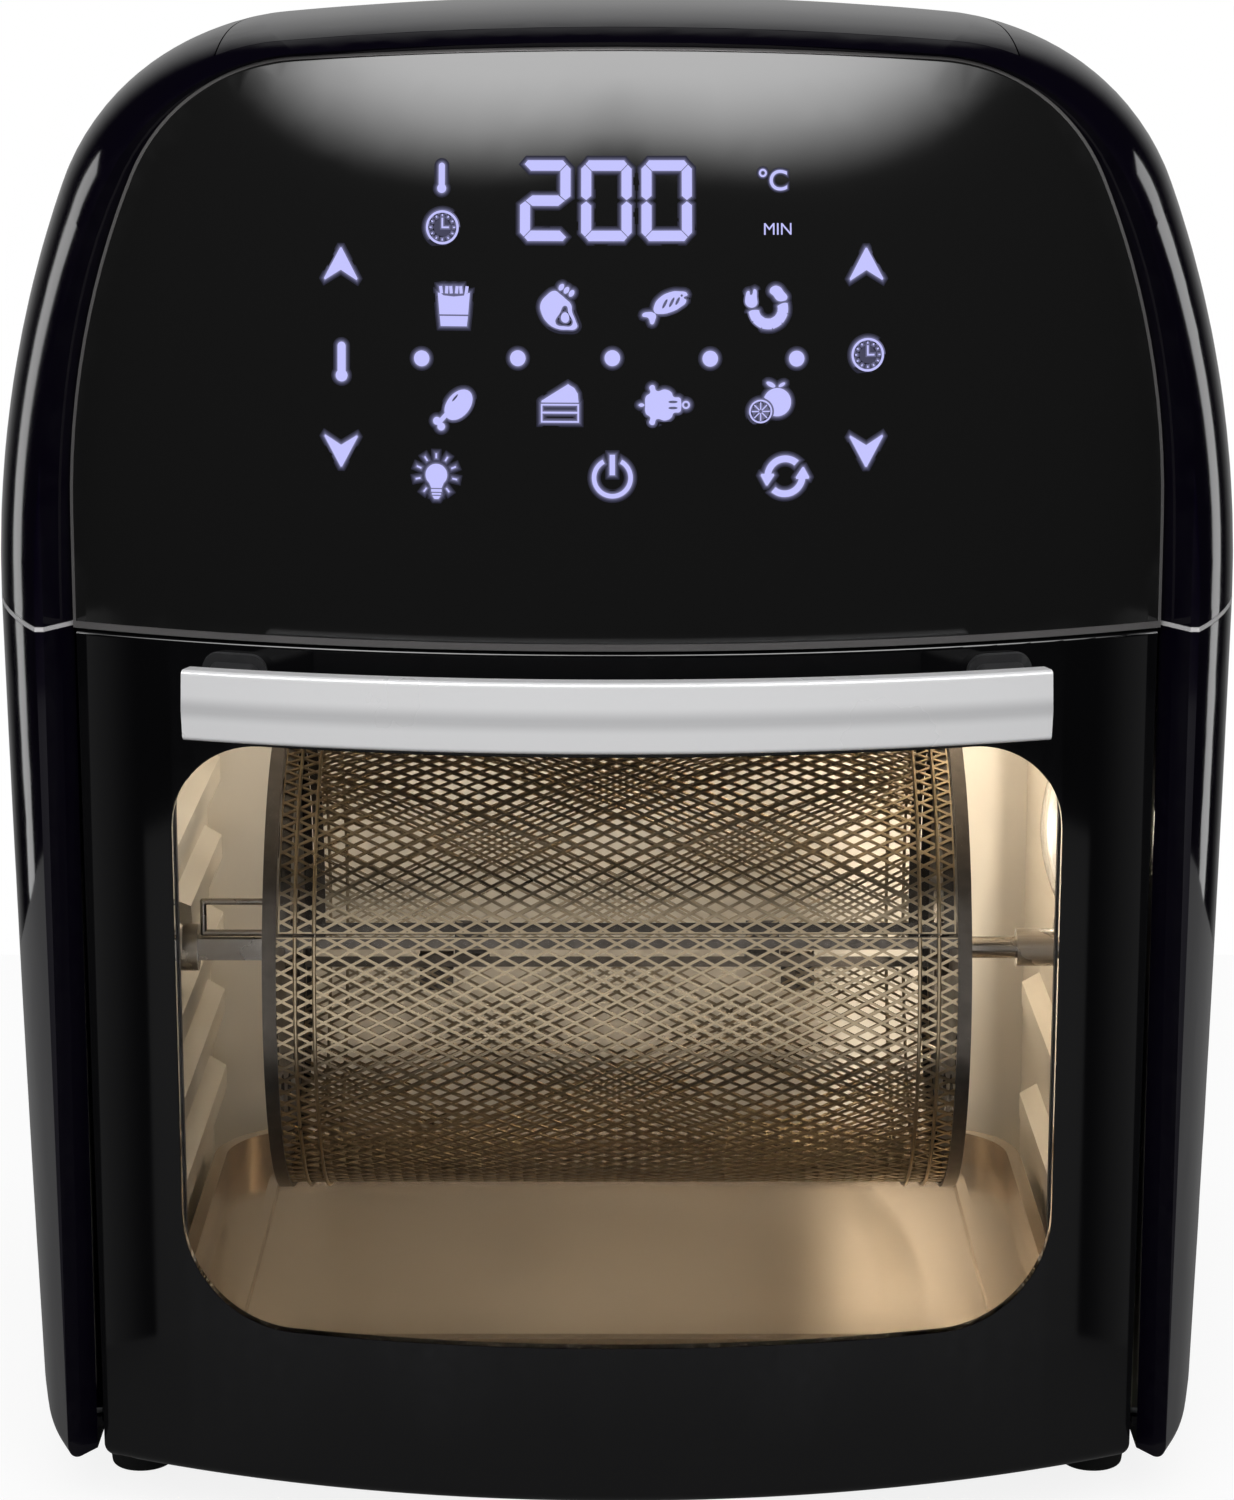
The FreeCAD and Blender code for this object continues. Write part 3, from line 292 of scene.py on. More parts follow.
def grain_group():
    """Grain that runs along one way, or even grain when all three are alike."""
    inputs = [("Along X", 1.0), ("Along Y", 1.0), ("Along Z", 1.0), ("Scale", 800.0)]
    group, ins, out = new_group("Grain", inputs, "Height")
    along = group.nodes.new("ShaderNodeCombineXYZ")
    for i, axis in enumerate("XYZ"):
        group.links.new(ins["Along " + axis], along.inputs[i])
    times = group.nodes.new("ShaderNodeVectorMath")
    times.operation = "MULTIPLY"
    group.links.new(object_place(group), times.inputs[0])
    group.links.new(along.outputs[0], times.inputs[1])
    group.links.new(add_noise(group, times.outputs[0], ins["Scale"], 5.0), out)
    return group


def wear_group():
    """Rubbed edges: pale where the surface turns sharply outwards, broken up by noise."""
    inputs = [("Start", 0.52), ("End", 0.6), ("Scale", 300.0)]
    group, ins, out = new_group("Edge wear", inputs, "Mask")
    turned = group.nodes.new("ShaderNodeNewGeometry").outputs["Pointiness"]
    edge = add_ramp(group, turned, ins["Start"], ins["End"], 0.0, 1.0)
    noise = add_noise(group, object_place(group), ins["Scale"], 2.0)
    group.links.new(add_math(group, "MULTIPLY", edge, noise), out)
    return group


def spangle_group():
    """The crystal patches of galvanised sheet."""
    group, ins, out = new_group("Spangle", [("Scale", 90.0)], "Patch")
    cells = group.nodes.new("ShaderNodeTexVoronoi")
    grey = group.nodes.new("ShaderNodeRGBToBW")
    group.links.new(object_place(group), cells.inputs["Vector"])
    group.links.new(ins["Scale"], cells.inputs["Scale"])
    group.links.new(cells.outputs["Color"], grey.inputs["Color"])
    group.links.new(grey.outputs["Val"], out)
    return group


class Finish:
    """One material under construction, with its Principled shader and the shared groups."""

    groups = {}

    def __init__(self, name, base, **values):
        self.material = bpy.data.materials.new(name)
        self.material.use_nodes = True
        self.tree = self.material.node_tree
        self.shader = self.tree.nodes["Principled BSDF"]
        self.shader.inputs["Base Color"].default_value = (*base, 1.0)
        self.base = base
        for label, value in values.items():
            self.shader.inputs[label.replace("_", " ")].default_value = value

    def group(self, kind, **values):
        placed = self.tree.nodes.new("ShaderNodeGroup")
        placed.node_tree = self.groups[kind]
        for label, value in values.items():
            placed.inputs[label.replace("_", " ")].default_value = value
        return placed

    def gloss(self, least, most, scale=20.0):
        placed = self.group("gloss", Scale=scale, Least=least, Most=most)
        self.tree.links.new(placed.outputs["Roughness"], self.shader.inputs["Roughness"])
        return self

    def grain(self, strength, distance, scale, x=1.0, y=1.0, z=1.0):
        placed = self.group("grain", Along_X=x, Along_Y=y, Along_Z=z, Scale=scale)
        bump = self.tree.nodes.new("ShaderNodeBump")
        bump.inputs["Strength"].default_value = strength
        bump.inputs["Distance"].default_value = distance
        self.tree.links.new(placed.outputs["Height"], bump.inputs["Height"])
        self.tree.links.new(bump.outputs["Normal"], self.shader.inputs["Normal"])
        return self

    def mix(self, mask, other):
        """Base colour turns to other where mask is 1."""
        blend = self.tree.nodes.new("ShaderNodeMix")
        blend.data_type = "RGBA"
        blend.inputs["A"].default_value = (*self.base, 1.0)
        blend.inputs["B"].default_value = (*other, 1.0)
        self.tree.links.new(mask, blend.inputs["Factor"])
        self.tree.links.new(blend.outputs["Result"], self.shader.inputs["Base Color"])
        return self

    def wear(self, other, start=0.53, end=0.62):
        return self.mix(self.group("wear", Start=start, End=end).outputs["Mask"], other)

    def spangle(self, other, scale=90.0):
        return self.mix(self.group("spangle", Scale=scale).outputs["Patch"], other)

    def mottle(self, other, scale):
        """Soft cloudy change towards another shade."""
        return self.mix(self.group("grain", Scale=scale).outputs["Height"], other)

    def band(self, other, low, high, share, width):
        """A soft level line of another shade, at this share of the height from low to high: painted shade,
        standing in for the shade that a crease in the surface would catch.
        """
        off = add_math(self.tree, "SUBTRACT", coordinate(self.tree, "Z"), low + share * (high - low))
        size = add_math(self.tree, "ABSOLUTE", off)
        return self.mix(add_ramp(self.tree, size, 0.0, width * (high - low), 1.0, 0.0, "SMOOTHSTEP"), other)

    def painted_edge_shade(self):
        """Painted shade: black where the surface faces sideways, on the edge faces of a pane."""
        size = add_math(self.tree, "ABSOLUTE", coordinate(self.tree, "Y", "Normal"))
        return self.mix(add_ramp(self.tree, size, 0.2, 0.5, 1.0, 0.0), PAINTED_EDGE_SHADE_BLACK)


def lit(name, tint, strength, base=(0.0, 0.0, 0.0)):
    """A surface that gives light of its own."""
    made = Finish(name, base, Roughness=0.3)
    made.shader.inputs["Emission Color"].default_value = (*tint, 1.0)
    made.shader.inputs["Emission Strength"].default_value = strength
    made.shader.inputs["Specular IOR Level"].default_value = 0.0
    return made.material


def glass(name, tint, ior):
    return Finish(name, tint, Roughness=0.0, IOR=ior, Metallic=0.0, Transmission_Weight=1.0)


def gloss_black(name, tint):
    """Gloss black moulding, faintly paler where it turns sharply."""
    return Finish(name, tint).gloss(0.05, 0.08, 9.0).wear(RUBBED_BLACK, 0.56, 0.7).material


# ------------------------------------------------------------------ finishes
class OVEN_OT_shared_effects(bpy.types.Operator):
    """Make the shader groups that the finishes share"""

    bl_idname = "oven.shared_effects"
    bl_label = "Shared effects"

    def execute(self, context):
        Finish.groups = {
            "gloss": gloss_group(),
            "grain": grain_group(),
            "wear": wear_group(),
            "spangle": spangle_group(),
        }
        return {"FINISHED"}


class OVEN_OT_casing_finish(bpy.types.Operator):
    """Give the casing its gloss black, its pale seam lines, which are a painted highlight on the seam trim,
    and its textured back
    """

    bl_idname = "oven.casing_finish"
    bl_label = "Casing finish"

    def execute(self, context):
        colours = context.scene.oven_colours
        paint(gloss_black("Gloss black casing", colours.casing),
              "lower_casing_left", "lower_casing_right", "upper_casing", "top_cover")
        # painted highlight: the seam trim is coloured pale to stand in for the highlight along the seam's
        # bevel
        seam = Finish("Seam line painted highlight", colours.seam, Metallic=0.1).gloss(0.3, 0.4, 60.0)
        seam.mottle((0.68, 0.67, 0.68), 40.0)
        paint(seam.material, "seam_trim")
        dim = Finish("Panel seam line", (0.16, 0.155, 0.155), Metallic=0.3).gloss(0.3, 0.4, 60.0)
        dim.mottle((0.12, 0.115, 0.115), 40.0)
        paint(dim.material, "panel_trim")
        satin = Finish("Textured black plastic", colours.satin).gloss(0.42, 0.55, 30.0)
        satin.grain(0.35, 0.0002, 1800.0).wear((0.05, 0.05, 0.052))
        paint(satin.material, "rear_cover", "cord_gland", "panel_carrier", "handle_mounts",
              "door_switch", "switch_plunger", "door_inner_frame")
        rubber = Finish("Foot rubber", (0.012, 0.012, 0.012)).gloss(0.7, 0.85, 50.0)
        rubber.grain(0.3, 0.0002, 900.0).mottle((0.02, 0.02, 0.02), 120.0)
        paint(rubber.material, "feet")
        return {"FINISHED"}


class OVEN_OT_panel_finish(bpy.types.Operator):
    """Give the control panel and the boards behind it their finishes"""

    bl_idname = "oven.panel_finish"
    bl_label = "Control panel finish"

    def execute(self, context):
        panel = Finish("Smoked panel", context.scene.oven_colours.panel).gloss(0.06, 0.085, 12.0)
        panel.wear((0.03, 0.03, 0.03), 0.56, 0.7)
        paint(panel.material, "control_panel_glass")
        board = Finish("Circuit board", (0.012, 0.09, 0.03)).gloss(0.3, 0.45, 60.0)
        board.spangle((0.02, 0.17, 0.06), 260.0).grain(0.4, 0.0002, 500.0, x=6.0)
        paint(board.material, "display_board", "power_board")
        return {"FINISHED"}


class OVEN_OT_door_finish(bpy.types.Operator):
    """Give the door its gloss black, its glass and its silver handle"""

    bl_idname = "oven.door_finish"
    bl_label = "Door finish"

    def execute(self, context):
        colours = context.scene.oven_colours
        paint(gloss_black("Gloss black door", colours.door), "door_outer_panel")
        silver = Finish("Satin silver handle", colours.handle, Metallic=0.1).gloss(0.26, 0.32, 30.0)
        silver.grain(0.05, 0.00005, 900.0, x=0.04)
        # painted shade: a darker level line at 47% of the handle's height stands in for the shade of a crease
        # across its face
        silver.band((0.60, 0.60, 0.61), HANDLE_LOW.z, HANDLE_HIGH.z, 0.47, 0.2)
        paint(silver.material, "door_handle_bar")
        # painted shade: the panes' edge faces are coloured black
        window = glass("Window glass", WHITE, 1.04).painted_edge_shade()
        paint(window.material, "door_window_glass", "door_inner_glass")
        seal = Finish("Silicone seal", (0.06, 0.058, 0.055)).gloss(0.5, 0.65, 50.0)
        seal.grain(0.2, 0.0002, 600.0).mottle((0.08, 0.078, 0.075), 60.0)
        paint(seal.material, "door_seal")
        return {"FINISHED"}


class OVEN_OT_cavity_finish(bpy.types.Operator):
    """Give the cooking space, its tray and its lamp their finishes"""

    bl_idname = "oven.cavity_finish"
    bl_label = "Cavity finish"

    def execute(self, context):
        colours = context.scene.oven_colours
        wall = Finish("Satin cavity sheet", colours.cavity, Metallic=0.55).gloss(0.36, 0.46, 25.0)
        wall.grain(0.06, 0.0001, 700.0, z=0.05).mottle((0.75, 0.70, 0.61), 8.0)
        paint(wall.material, "cavity_left_wall", "cavity_right_wall", "cavity_back_wall",
              "cavity_ceiling", "cavity_floor", "cavity_front_frame", "temperature_probe", "thermal_cutout")
        tray = Finish("Polished tray", colours.tray, Metallic=0.85).gloss(0.17, 0.22, 22.0)
        tray.grain(0.05, 0.0001, 600.0, x=0.05).mottle((0.58, 0.48, 0.37), 8.0)
        paint(tray.material, "drip_tray")
        paint(glass("Lamp glass", (1.0, 0.99, 0.96), 1.45).material, "lamp_lens")
        paint(lit("Lamp glow", colours.lamp, 30.0, (0.8, 0.8, 0.8)), "oven_lamp")
        return {"FINISHED"}


class OVEN_OT_metal_finish(bpy.types.Operator):
    """Give the sheet metal, drum, fans, motors and screws their finishes"""

    bl_idname = "oven.metal_finish"
    bl_label = "Metal finishes"

    def execute(self, context):
        colours = context.scene.oven_colours
        zinc = Finish("Galvanised sheet", (0.50, 0.51, 0.52), Metallic=1.0).gloss(0.34, 0.48, 40.0)
        zinc.spangle((0.62, 0.63, 0.64)).grain(0.08, 0.0001, 400.0)
        paint(zinc.material, "base_plate", "heater_dome", "fan_guard", "motor_bracket", "hinge_arms",
              "lamp_housing")
        frame_steel = Finish("Dark drum steel", colours.drum, Metallic=0.8).gloss(0.3, 0.42, 60.0)
        frame_steel.grain(0.1, 0.0001, 500.0).wear((0.16, 0.14, 0.12), 0.54, 0.66)
        paint(frame_steel.material, "drum_ends", "drum_bars", "drum_lid_frame")
        axle = Finish("Axle steel", (0.34, 0.31, 0.28), Metallic=1.0).gloss(0.2, 0.32, 60.0)
        axle.grain(0.1, 0.0001, 900.0, x=0.1).wear((0.5, 0.47, 0.43), 0.52, 0.6)
        paint(axle.material, "drum_axles", "drive_coupler", "drum_support", "drum_lift_loop")
        screw = Finish("Screw steel", (0.42, 0.42, 0.43), Metallic=1.0).gloss(0.25, 0.35, 90.0)
        screw.grain(0.1, 0.0001, 1500.0).mottle((0.3, 0.3, 0.31), 200.0)
        paint(screw.material, "casing_screws", "foot_screws", "door_screws", "fan_shaft",
              "drum_hinge_pins", "hinge_pins", "hinge_springs")
        heater = Finish("Heater tube", (0.09, 0.085, 0.075), Metallic=0.7).gloss(0.4, 0.6, 80.0)
        heater.grain(0.2, 0.0001, 900.0).mottle((0.16, 0.12, 0.09), 30.0)
        paint(heater.material, "heating_element")
        fan = Finish("Rolled aluminium", (0.66, 0.66, 0.67), Metallic=1.0).gloss(0.26, 0.4, 40.0)
        fan.grain(0.1, 0.0001, 900.0, x=0.05).mottle((0.55, 0.55, 0.56), 30.0)
        paint(fan.material, "convection_fan", "cooling_fan")
        motor = Finish("Motor can", (0.30, 0.30, 0.31), Metallic=0.9).gloss(0.3, 0.45, 60.0)
        motor.grain(0.2, 0.0002, 300.0, x=0.02, y=0.02, z=5.0).wear((0.5, 0.5, 0.5))
        paint(motor.material, "fan_motor", "rotisserie_motor")
        return {"FINISHED"}


# ------------------------------------------------------------------ drum mesh
def mesh_sheet(sizes, start, end, half):
    """A flat diamond mesh, given its thickness and rolled to the drum's radius between two angles."""
    radius = SHEET_MIDDLE
    arc = (end - start) * radius
    cells = math.ceil(2 * half / sizes.cell_length + arc / sizes.cell_height) + 2
    bpy.ops.object.select_all(action="DESELECT")
    bpy.ops.mesh.primitive_grid_add(x_subdivisions=cells, y_subdivisions=cells, size=cells)
    sheet = bpy.context.object
    sheet.rotation_euler.z = math.radians(45)
    apply_place(sheet)
    sheet.scale = (sizes.cell_length / math.sqrt(2), sizes.cell_height / math.sqrt(2), 1.0)
    apply_place(sheet)
    sheet.rotation_euler.x = math.radians(90)
    apply_place(sheet)
    edit_all(sheet)
    for place, facing in (((half, 0, 0), (1, 0, 0)), ((-half, 0, 0), (-1, 0, 0)),
                          ((0, 0, arc / 2), (0, 0, 1)), ((0, 0, -arc / 2), (0, 0, -1))):
        bpy.ops.mesh.select_all(action="SELECT")
        bpy.ops.mesh.bisect(plane_co=place, plane_no=facing, clear_outer=True)
    bpy.ops.mesh.select_all(action="SELECT")
    bpy.ops.mesh.inset(use_individual=True, thickness=sizes.strand / 2)
    bpy.ops.mesh.delete(type="FACE")
    bpy.ops.object.mode_set(mode="OBJECT")
    wall = sheet.modifiers.new("Thickness", "SOLIDIFY")
    wall.thickness = sizes.thickness
    wall.offset = 0.0
    roll = sheet.modifiers.new("Roll", "SIMPLE_DEFORM")
    roll.deform_method = "BEND"
    roll.deform_axis = "X"
    roll.angle = end - start
    apply_modifiers(sheet)
    sheet.location.y = -radius
    apply_place(sheet)
    sheet.rotation_euler.x = -(start + end) / 2
    sheet.location = (0, AXIS_Y, AXIS_Z)
    apply_place(sheet)
    return sheet


def hoop(sizes, x, start, end):
    """A thin wire hoop round part of the drum."""
    bpy.ops.object.select_all(action="DESELECT")
    bpy.ops.mesh.primitive_circle_add(vertices=8, radius=sizes.hoop,
                                      location=(x, -SHEET_OUTER - sizes.hoop, 0))
    wire = bpy.context.object
    apply_place(wire)
    edit_all(wire)
    bpy.ops.mesh.spin(steps=60, angle=end - start, center=(0, 0, 0), axis=(1, 0, 0))
    bpy.ops.mesh.select_all(action="SELECT")
    bpy.ops.mesh.fill_holes(sides=0)
    bpy.ops.mesh.select_all(action="SELECT")
    bpy.ops.mesh.remove_doubles(threshold=0.00001)
    bpy.ops.mesh.normals_make_consistent(inside=False)
    bpy.ops.object.mode_set(mode="OBJECT")
    wire.rotation_euler.x = -start
    wire.location = (0, AXIS_Y, AXIS_Z)
    apply_place(wire)
    only(wire)
    bpy.ops.object.shade_smooth_by_angle(angle=math.radians(50))
    return wire


class OVEN_OT_drum_mesh(bpy.types.Operator):
    """Roll the expanded mesh of the drum and of its lid, with their thin hoops"""

    bl_idname = "oven.drum_mesh"
    bl_label = "Drum mesh"

    def execute(self, context):
        sizes = context.scene.oven_drum
        wire = Finish("Mesh wire", context.scene.oven_colours.wire, Metallic=1.0).gloss(0.27, 0.33, 30.0)
        wire.mottle((0.42, 0.34, 0.23), 40.0)
        shell = mesh_sheet(sizes, sizes.shell_start, sizes.shell_end, SHELL_HIGH.x)
        hang(shell, "drum_shell_diamonds", "drum", wire.material)
        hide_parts("drum_shell_mesh")
        lid = mesh_sheet(sizes, sizes.lid_start, sizes.lid_end, LID_END_X)
        hang(lid, "drum_lid_diamonds", "drum_lid", wire.material)
        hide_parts("drum_lid_mesh")
        for side in (-1, 1):
            label = "left" if side < 0 else "right"
            for i, inset in enumerate(HOOP_INSETS):
                x = side * (DRUM_HIGH.x - inset)
                ring = hoop(sizes, x, sizes.shell_start, sizes.shell_end)
                hang(ring, f"drum_hoop_{label}_{i + 1}", "drum", wire.material)
                if abs(x) < LID_END_X - HOOP_LID_GAP:
                    ring = hoop(sizes, x, sizes.lid_start, sizes.lid_end)
                    hang(ring, f"drum_lid_hoop_{label}_{i + 1}", "drum_lid", wire.material)
        return {"FINISHED"}


# ------------------------------------------------------------------ lit signs, in mm round their centre
def polar(x, y, r, degrees):
    a = math.radians(degrees)
    return (x + r * math.cos(a), y + r * math.sin(a))


def rect(x0, y0, x1, y1):
    return [(x0, y0), (x1, y0), (x1, y1), (x0, y1)]


def disc(x, y, r, count=24):
    return [polar(x, y, r, 360 * i / count) for i in range(count)]


def arc_band(x, y, inner, outer, start, end, count=20):
    """Part of a ring, angles in degrees."""
    turns = [start + (end - start) * i / count for i in range(count + 1)]
    return [polar(x, y, outer, a) for a in turns] + [polar(x, y, inner, a) for a in reversed(turns)]


def bar(x, y, length, width, degrees):
    """A straight bar that starts at x, y and points along an angle."""
    c, s = math.cos(math.radians(degrees)), math.sin(math.radians(degrees))
    h = width / 2
    return [(x + c * u - s * v, y + s * u + c * v) for u, v in ((0, -h), (length, -h), (length, h), (0, h))]


def ray(x, y, r, length, width, degrees):
    """A bar that points away from x, y and starts at the distance r."""
    return bar(*polar(x, y, r, degrees), length, width, degrees)


def oval(x, y, a, b, degrees, count=28):
    c, s = math.cos(math.radians(degrees)), math.sin(math.radians(degrees))
    ring = disc(0, 0, 1, count)
    return [(x + c * a * u - s * b * v, y + s * a * u + c * b * v) for u, v in ring]


def clock():
    ticks = [ray(0, 0, 2.55, 0.5, 0.3, a) for a in range(0, 360, 30)]
    hands = [(-0.2, 2.2), (-0.2, -0.2), (1.6, -0.2), (1.6, 0.2), (0.2, 0.2), (0.2, 2.2)]
    return [[disc(0, 0, 3.9, 36), disc(0, 0, 3.35, 36), *ticks, hands]]


def dot():
    return [[disc(0, 0, 1.85)]]


def thermometer(scale):
    w, r, top = 0.85 * scale, 1.25 * scale, 4.0 * scale
    stem = [polar(0, top - w, w, 18 * i) for i in range(11)]
    meet = math.degrees(math.acos(w / r))
    bulb = [polar(0, r - top, r, 180 - meet + (180 + 2 * meet) * i / 18) for i in range(19)]
    return [[stem + bulb]]


def fries():
    leans = ((-2.9, 8), (-1.75, -4), (-0.6, 5), (0.6, -6), (1.75, 5), (2.9, -8))
    sticks = [bar(x, 2.9, 1.7, 0.75, 90 + lean) for x, lean in leans]
    cup = [(-3.8, 3.1), (-3.2, 3.0), (-2.4, 2.45), (0, 2.2), (2.4, 2.45), (3.2, 3.0), (3.8, 3.1),
           (3.4, -1.9), (-3.4, -1.9)]
    foot = [(-3.35, -2.25), (3.35, -2.25), (3.1, -4.6), (-3.1, -4.6)]
    return [[cup, foot, *sticks]]


def roast_joint():
    body = [(-0.9, 3.7), (-2.9, 2.6), (-4.3, 0.6), (-4.0, -1.6), (-2.6, -3.7), (-0.6, -4.9), (1.8, -5.2),
            (4.3, -4.7), (4.0, -3.2), (3.2, -1.2), (2.9, 0.6), (1.6, 1.9), (0.4, 2.9)]
    window = [(-0.7, -3.7), (0.3, -1.4), (1.6, 0.3), (2.3, -1.4), (3.2, -4.0), (1.2, -4.4)]
    mark = [(0.6, -3.0), (1.6, -1.2), (2.2, -3.4)]
    bones = [bar(x, y, 1.5, 0.6, 55) for x, y in ((0.2, 3.9), (1.4, 3.2), (2.6, 2.5))]
    return [[body, window, mark, *bones]]


def fish():
    body = [(-2.5, -1.5), (-2.5, 0.2), (-1.2, 1.9), (0.9, 3.0), (3.0, 3.3), (5.3, 2.5), (4.4, 1.8),
            (5.0, 1.2), (3.4, -0.5), (1.3, -1.5), (-0.8, -1.9)]
    tail = [(-2.75, -1.6), (-3.6, -1.4), (-5.4, -2.2), (-4.0, -2.8), (-3.1, -4.3), (-2.3, -3.2), (-2.2, -2.0)]
    starts = ((-0.6, -0.6, 2.3), (1.0, -0.3, 2.4), (2.5, 0.2, 1.9))
    cuts = [bar(x, y, span, 0.22, 62) for x, y, span in starts]
    return [[body, tail, disc(3.9, 2.3, 0.28, 12), *cuts]]


def prawn():
    rings = [arc_band(0, -0.6, 2.2, 4.7, a, a + 28, 6) for a in (-172, -140, -108, -76, -44, -12)]
    head = [(2.0, 1.4), (1.2, 2.4), (0.3, 3.4), (1.2, 4.6), (2.6, 4.5), (3.6, 3.4), (4.5, 1.8), (3.2, 1.1)]
    tail = [(-5.0, 0.1), (-5.4, 2.2), (-4.6, 3.6), (-4.1, 2.6), (-3.2, 4.0), (-2.7, 2.2), (-2.9, 0.1)]
    return [[*rings, head, tail]]


def drumstick():
    meat = oval(1.5, 1.5, 4.1, 2.7, 50)
    shine = oval(0.7, 3.1, 1.1, 0.25, 50, 12)
    bone = bar(-3.3, -2.9, 3.0, 1.1, 48)
    return [[meat, shine], [bone], [disc(-3.6, -2.3, 0.95)], [disc(-2.6, -3.6, 0.95)]]


def cake():
    top = [(-4.4, 0.35), (-4.35, 0.75), (-1.2, 2.7), (1.9, 4.6), (3.4, 3.7), (4.2, 2.4), (4.4, 0.35)]
    return [[top, rect(-4.5, -4.3, 4.5, 0.05), rect(-4.1, -1.75, 4.1, -0.35), rect(-4.1, -3.9, 4.1, -2.2)]]


def roast_bird():
    back = [(4.2, -0.6), (3.9, -1.6), (2.4, -1.9), (1.9, -2.9), (0.4, -3.6), (-1.6, -3.3), (-2.3, -4.6),
            (-3.3, -4.2), (-3.1, -2.9), (-4.1, -2.0)]
    body = [(-4.3, 0.0)] + [(x, -y) for x, y in reversed(back)] + back
    legs = [bar(1.2, y, 2.1, 0.2, 0) for y in (0.7, -0.7)]
    return [[body, *legs, rect(-5.8, -0.15, -4.5, 0.15), disc(5.3, 0, 0.95), disc(5.3, 0, 0.5, 16)]]


def fruit():
    around = [polar(1.7, 0.4, 3.3, a) for a in range(-104, 162, 11)]
    notch = [polar(-2.2, -1.7, 3.15, a) for a in range(68, -21, -11)]
    spokes = [ray(-2.2, -1.7, 0.4, 1.75, 0.28, a) for a in range(0, 360, 45)]
    leaves = [oval(0.2, 4.5, 1.2, 0.55, -28, 14), oval(2.8, 4.4, 0.9, 0.4, 30, 14)]
    return [[around + notch], [disc(-2.2, -1.7, 2.75), disc(-2.2, -1.7, 2.35), *spokes, *leaves]]


def bulb():
    globe = [polar(0, 0.5, 2.6, 90 - a) for a in range(-138, 139, 12)]
    rays = [ray(0, 0.5, 3.85, 1.2, 0.42, a) for a in (-53, -12, 23, 57, 90, 123, 157, 192, 233)]
    tip = [(-1.0, -4.45), (1.0, -4.45), (0.5, -5.2), (-0.5, -5.2)]
    foot = [rect(-1.25, -3.5, 1.25, -2.85), rect(-1.1, -4.2, 1.1, -3.75), tip]
    return [[globe + [(1.25, -2.6), (-1.25, -2.6)], *foot, *rays]]


def power():
    return [[arc_band(0, -0.3, 3.75, 4.85, 118, 422, 40)], [rect(-0.65, 0.3, 0.65, 5.1)]]


def turning():
    band = arc_band(0, 0, 3.3, 4.9, 48, 158, 24)
    point = [(-5.6, 0.7), (-2.7, 0.7), (-2.5, 0.3), (-4.1, -2.1), (-4.5, -2.1), (-5.8, 0.3)]
    joint = arc_band(0, 0, 3.3, 4.9, 155, 174, 6)
    return [[[(flip * x, flip * y) for x, y in loop]] for flip in (1, -1) for loop in (band, point, joint)]


def arrow(up):
    half = [(0.2, 3.75), (4.05, -3.35), (3.8, -3.75)]
    other = [(-x, y) for x, y in reversed(half)]
    return [[[(x, y * up) for x, y in half + [(0, -1.4)] + other]]]


def seven_segments(lit_segments, w, h, t):
    """One digit, with segments named a to g clockwise from the top and g in the middle."""
    k, g = 1.8, 0.13
    a = [(k / 2 + g, h - k / 2), (k, h), (w - k, h), (w - k / 2 - g, h - k / 2),
         (w - t - g, h - t), (t + g, h - t)]
    f = [(k / 2, h - k / 2 - g), (0, h - k - g), (0, h / 2 + 1.0), (t / 2, h / 2 + g),
         (t, h / 2 + 1.1), (t, h - t - g)]
    middle = [(t / 2 + g, h / 2), (t + 0.5, h / 2 + t / 2), (w - t - 0.5, h / 2 + t / 2),
              (w - t / 2 - g, h / 2), (w - t - 0.5, h / 2 - t / 2), (t + 0.5, h / 2 - t / 2)]
    shapes = {
        "a": a,
        "b": [(w - x, y) for x, y in f],
        "c": [(w - x, h - y) for x, y in f],
        "d": [(x, h - y) for x, y in a],
        "e": [(x, h - y) for x, y in f],
        "f": f,
        "g": middle,
    }
    return [[[(x - w / 2, y - h / 2) for x, y in shapes[s]] for s in lit_segments]]


SMOOTH = {"roast_joint", "fish", "prawn", "roast_bird"}
SIGNS = [
    ("thermometer_small", -41.4, 341.8, lambda: thermometer(0.87)),
    ("clock_small", -41.2, 330.5, clock),
    ("fries", -38.4, 312.5, fries),
    ("roast_joint", -13.7, 312.5, roast_joint),
    ("fish", 11.3, 312.8, fish),
    ("prawn", 35.6, 312.5, prawn),
    ("dot_1", -46.0, 300.4, dot),
    ("dot_2", -23.3, 300.7, dot),
    ("dot_3", -1.1, 300.8, dot),
    ("dot_4", 21.9, 300.6, dot),
    ("dot_5", 42.3, 300.4, dot),
    ("drumstick", -38.8, 288.3, drumstick),
    ("cake", -13.4, 290.2, cake),
    ("roast_bird", 10.9, 290.0, roast_bird),
    ("fruit", 36.0, 290.0, fruit),
    ("bulb", -42.6, 272.9, bulb),
    ("power", -1.1, 273.4, power),
    ("turning", 39.6, 273.1, turning),
    ("up_left", -65.3, 321.9, lambda: arrow(1)),
    ("thermometer", -65.1, 299.3, lambda: thermometer(1.16)),
    ("down_left", -65.3, 278.5, lambda: arrow(-1)),
    ("up_right", 58.9, 321.9, lambda: arrow(1)),
    ("clock", 59.2, 301.0, clock),
    ("down_right", 58.9, 278.6, lambda: arrow(-1)),
]
WORDS = [("celsius", "°C", 36.8, 341.0, 6.6), ("minutes", "MIN", 37.9, 330.0, 3.9)]


def within(point, loop):
    """True if the point lies inside the closed loop."""
    x, y = point
    inside = False
    for (x0, y0), (x1, y1) in zip(loop, loop[1:] + loop[:1]):
        if (y0 > y) != (y1 > y) and x < (x1 - x0) * (y - y0) / (y1 - y0) + x0:
            inside = not inside
    return inside


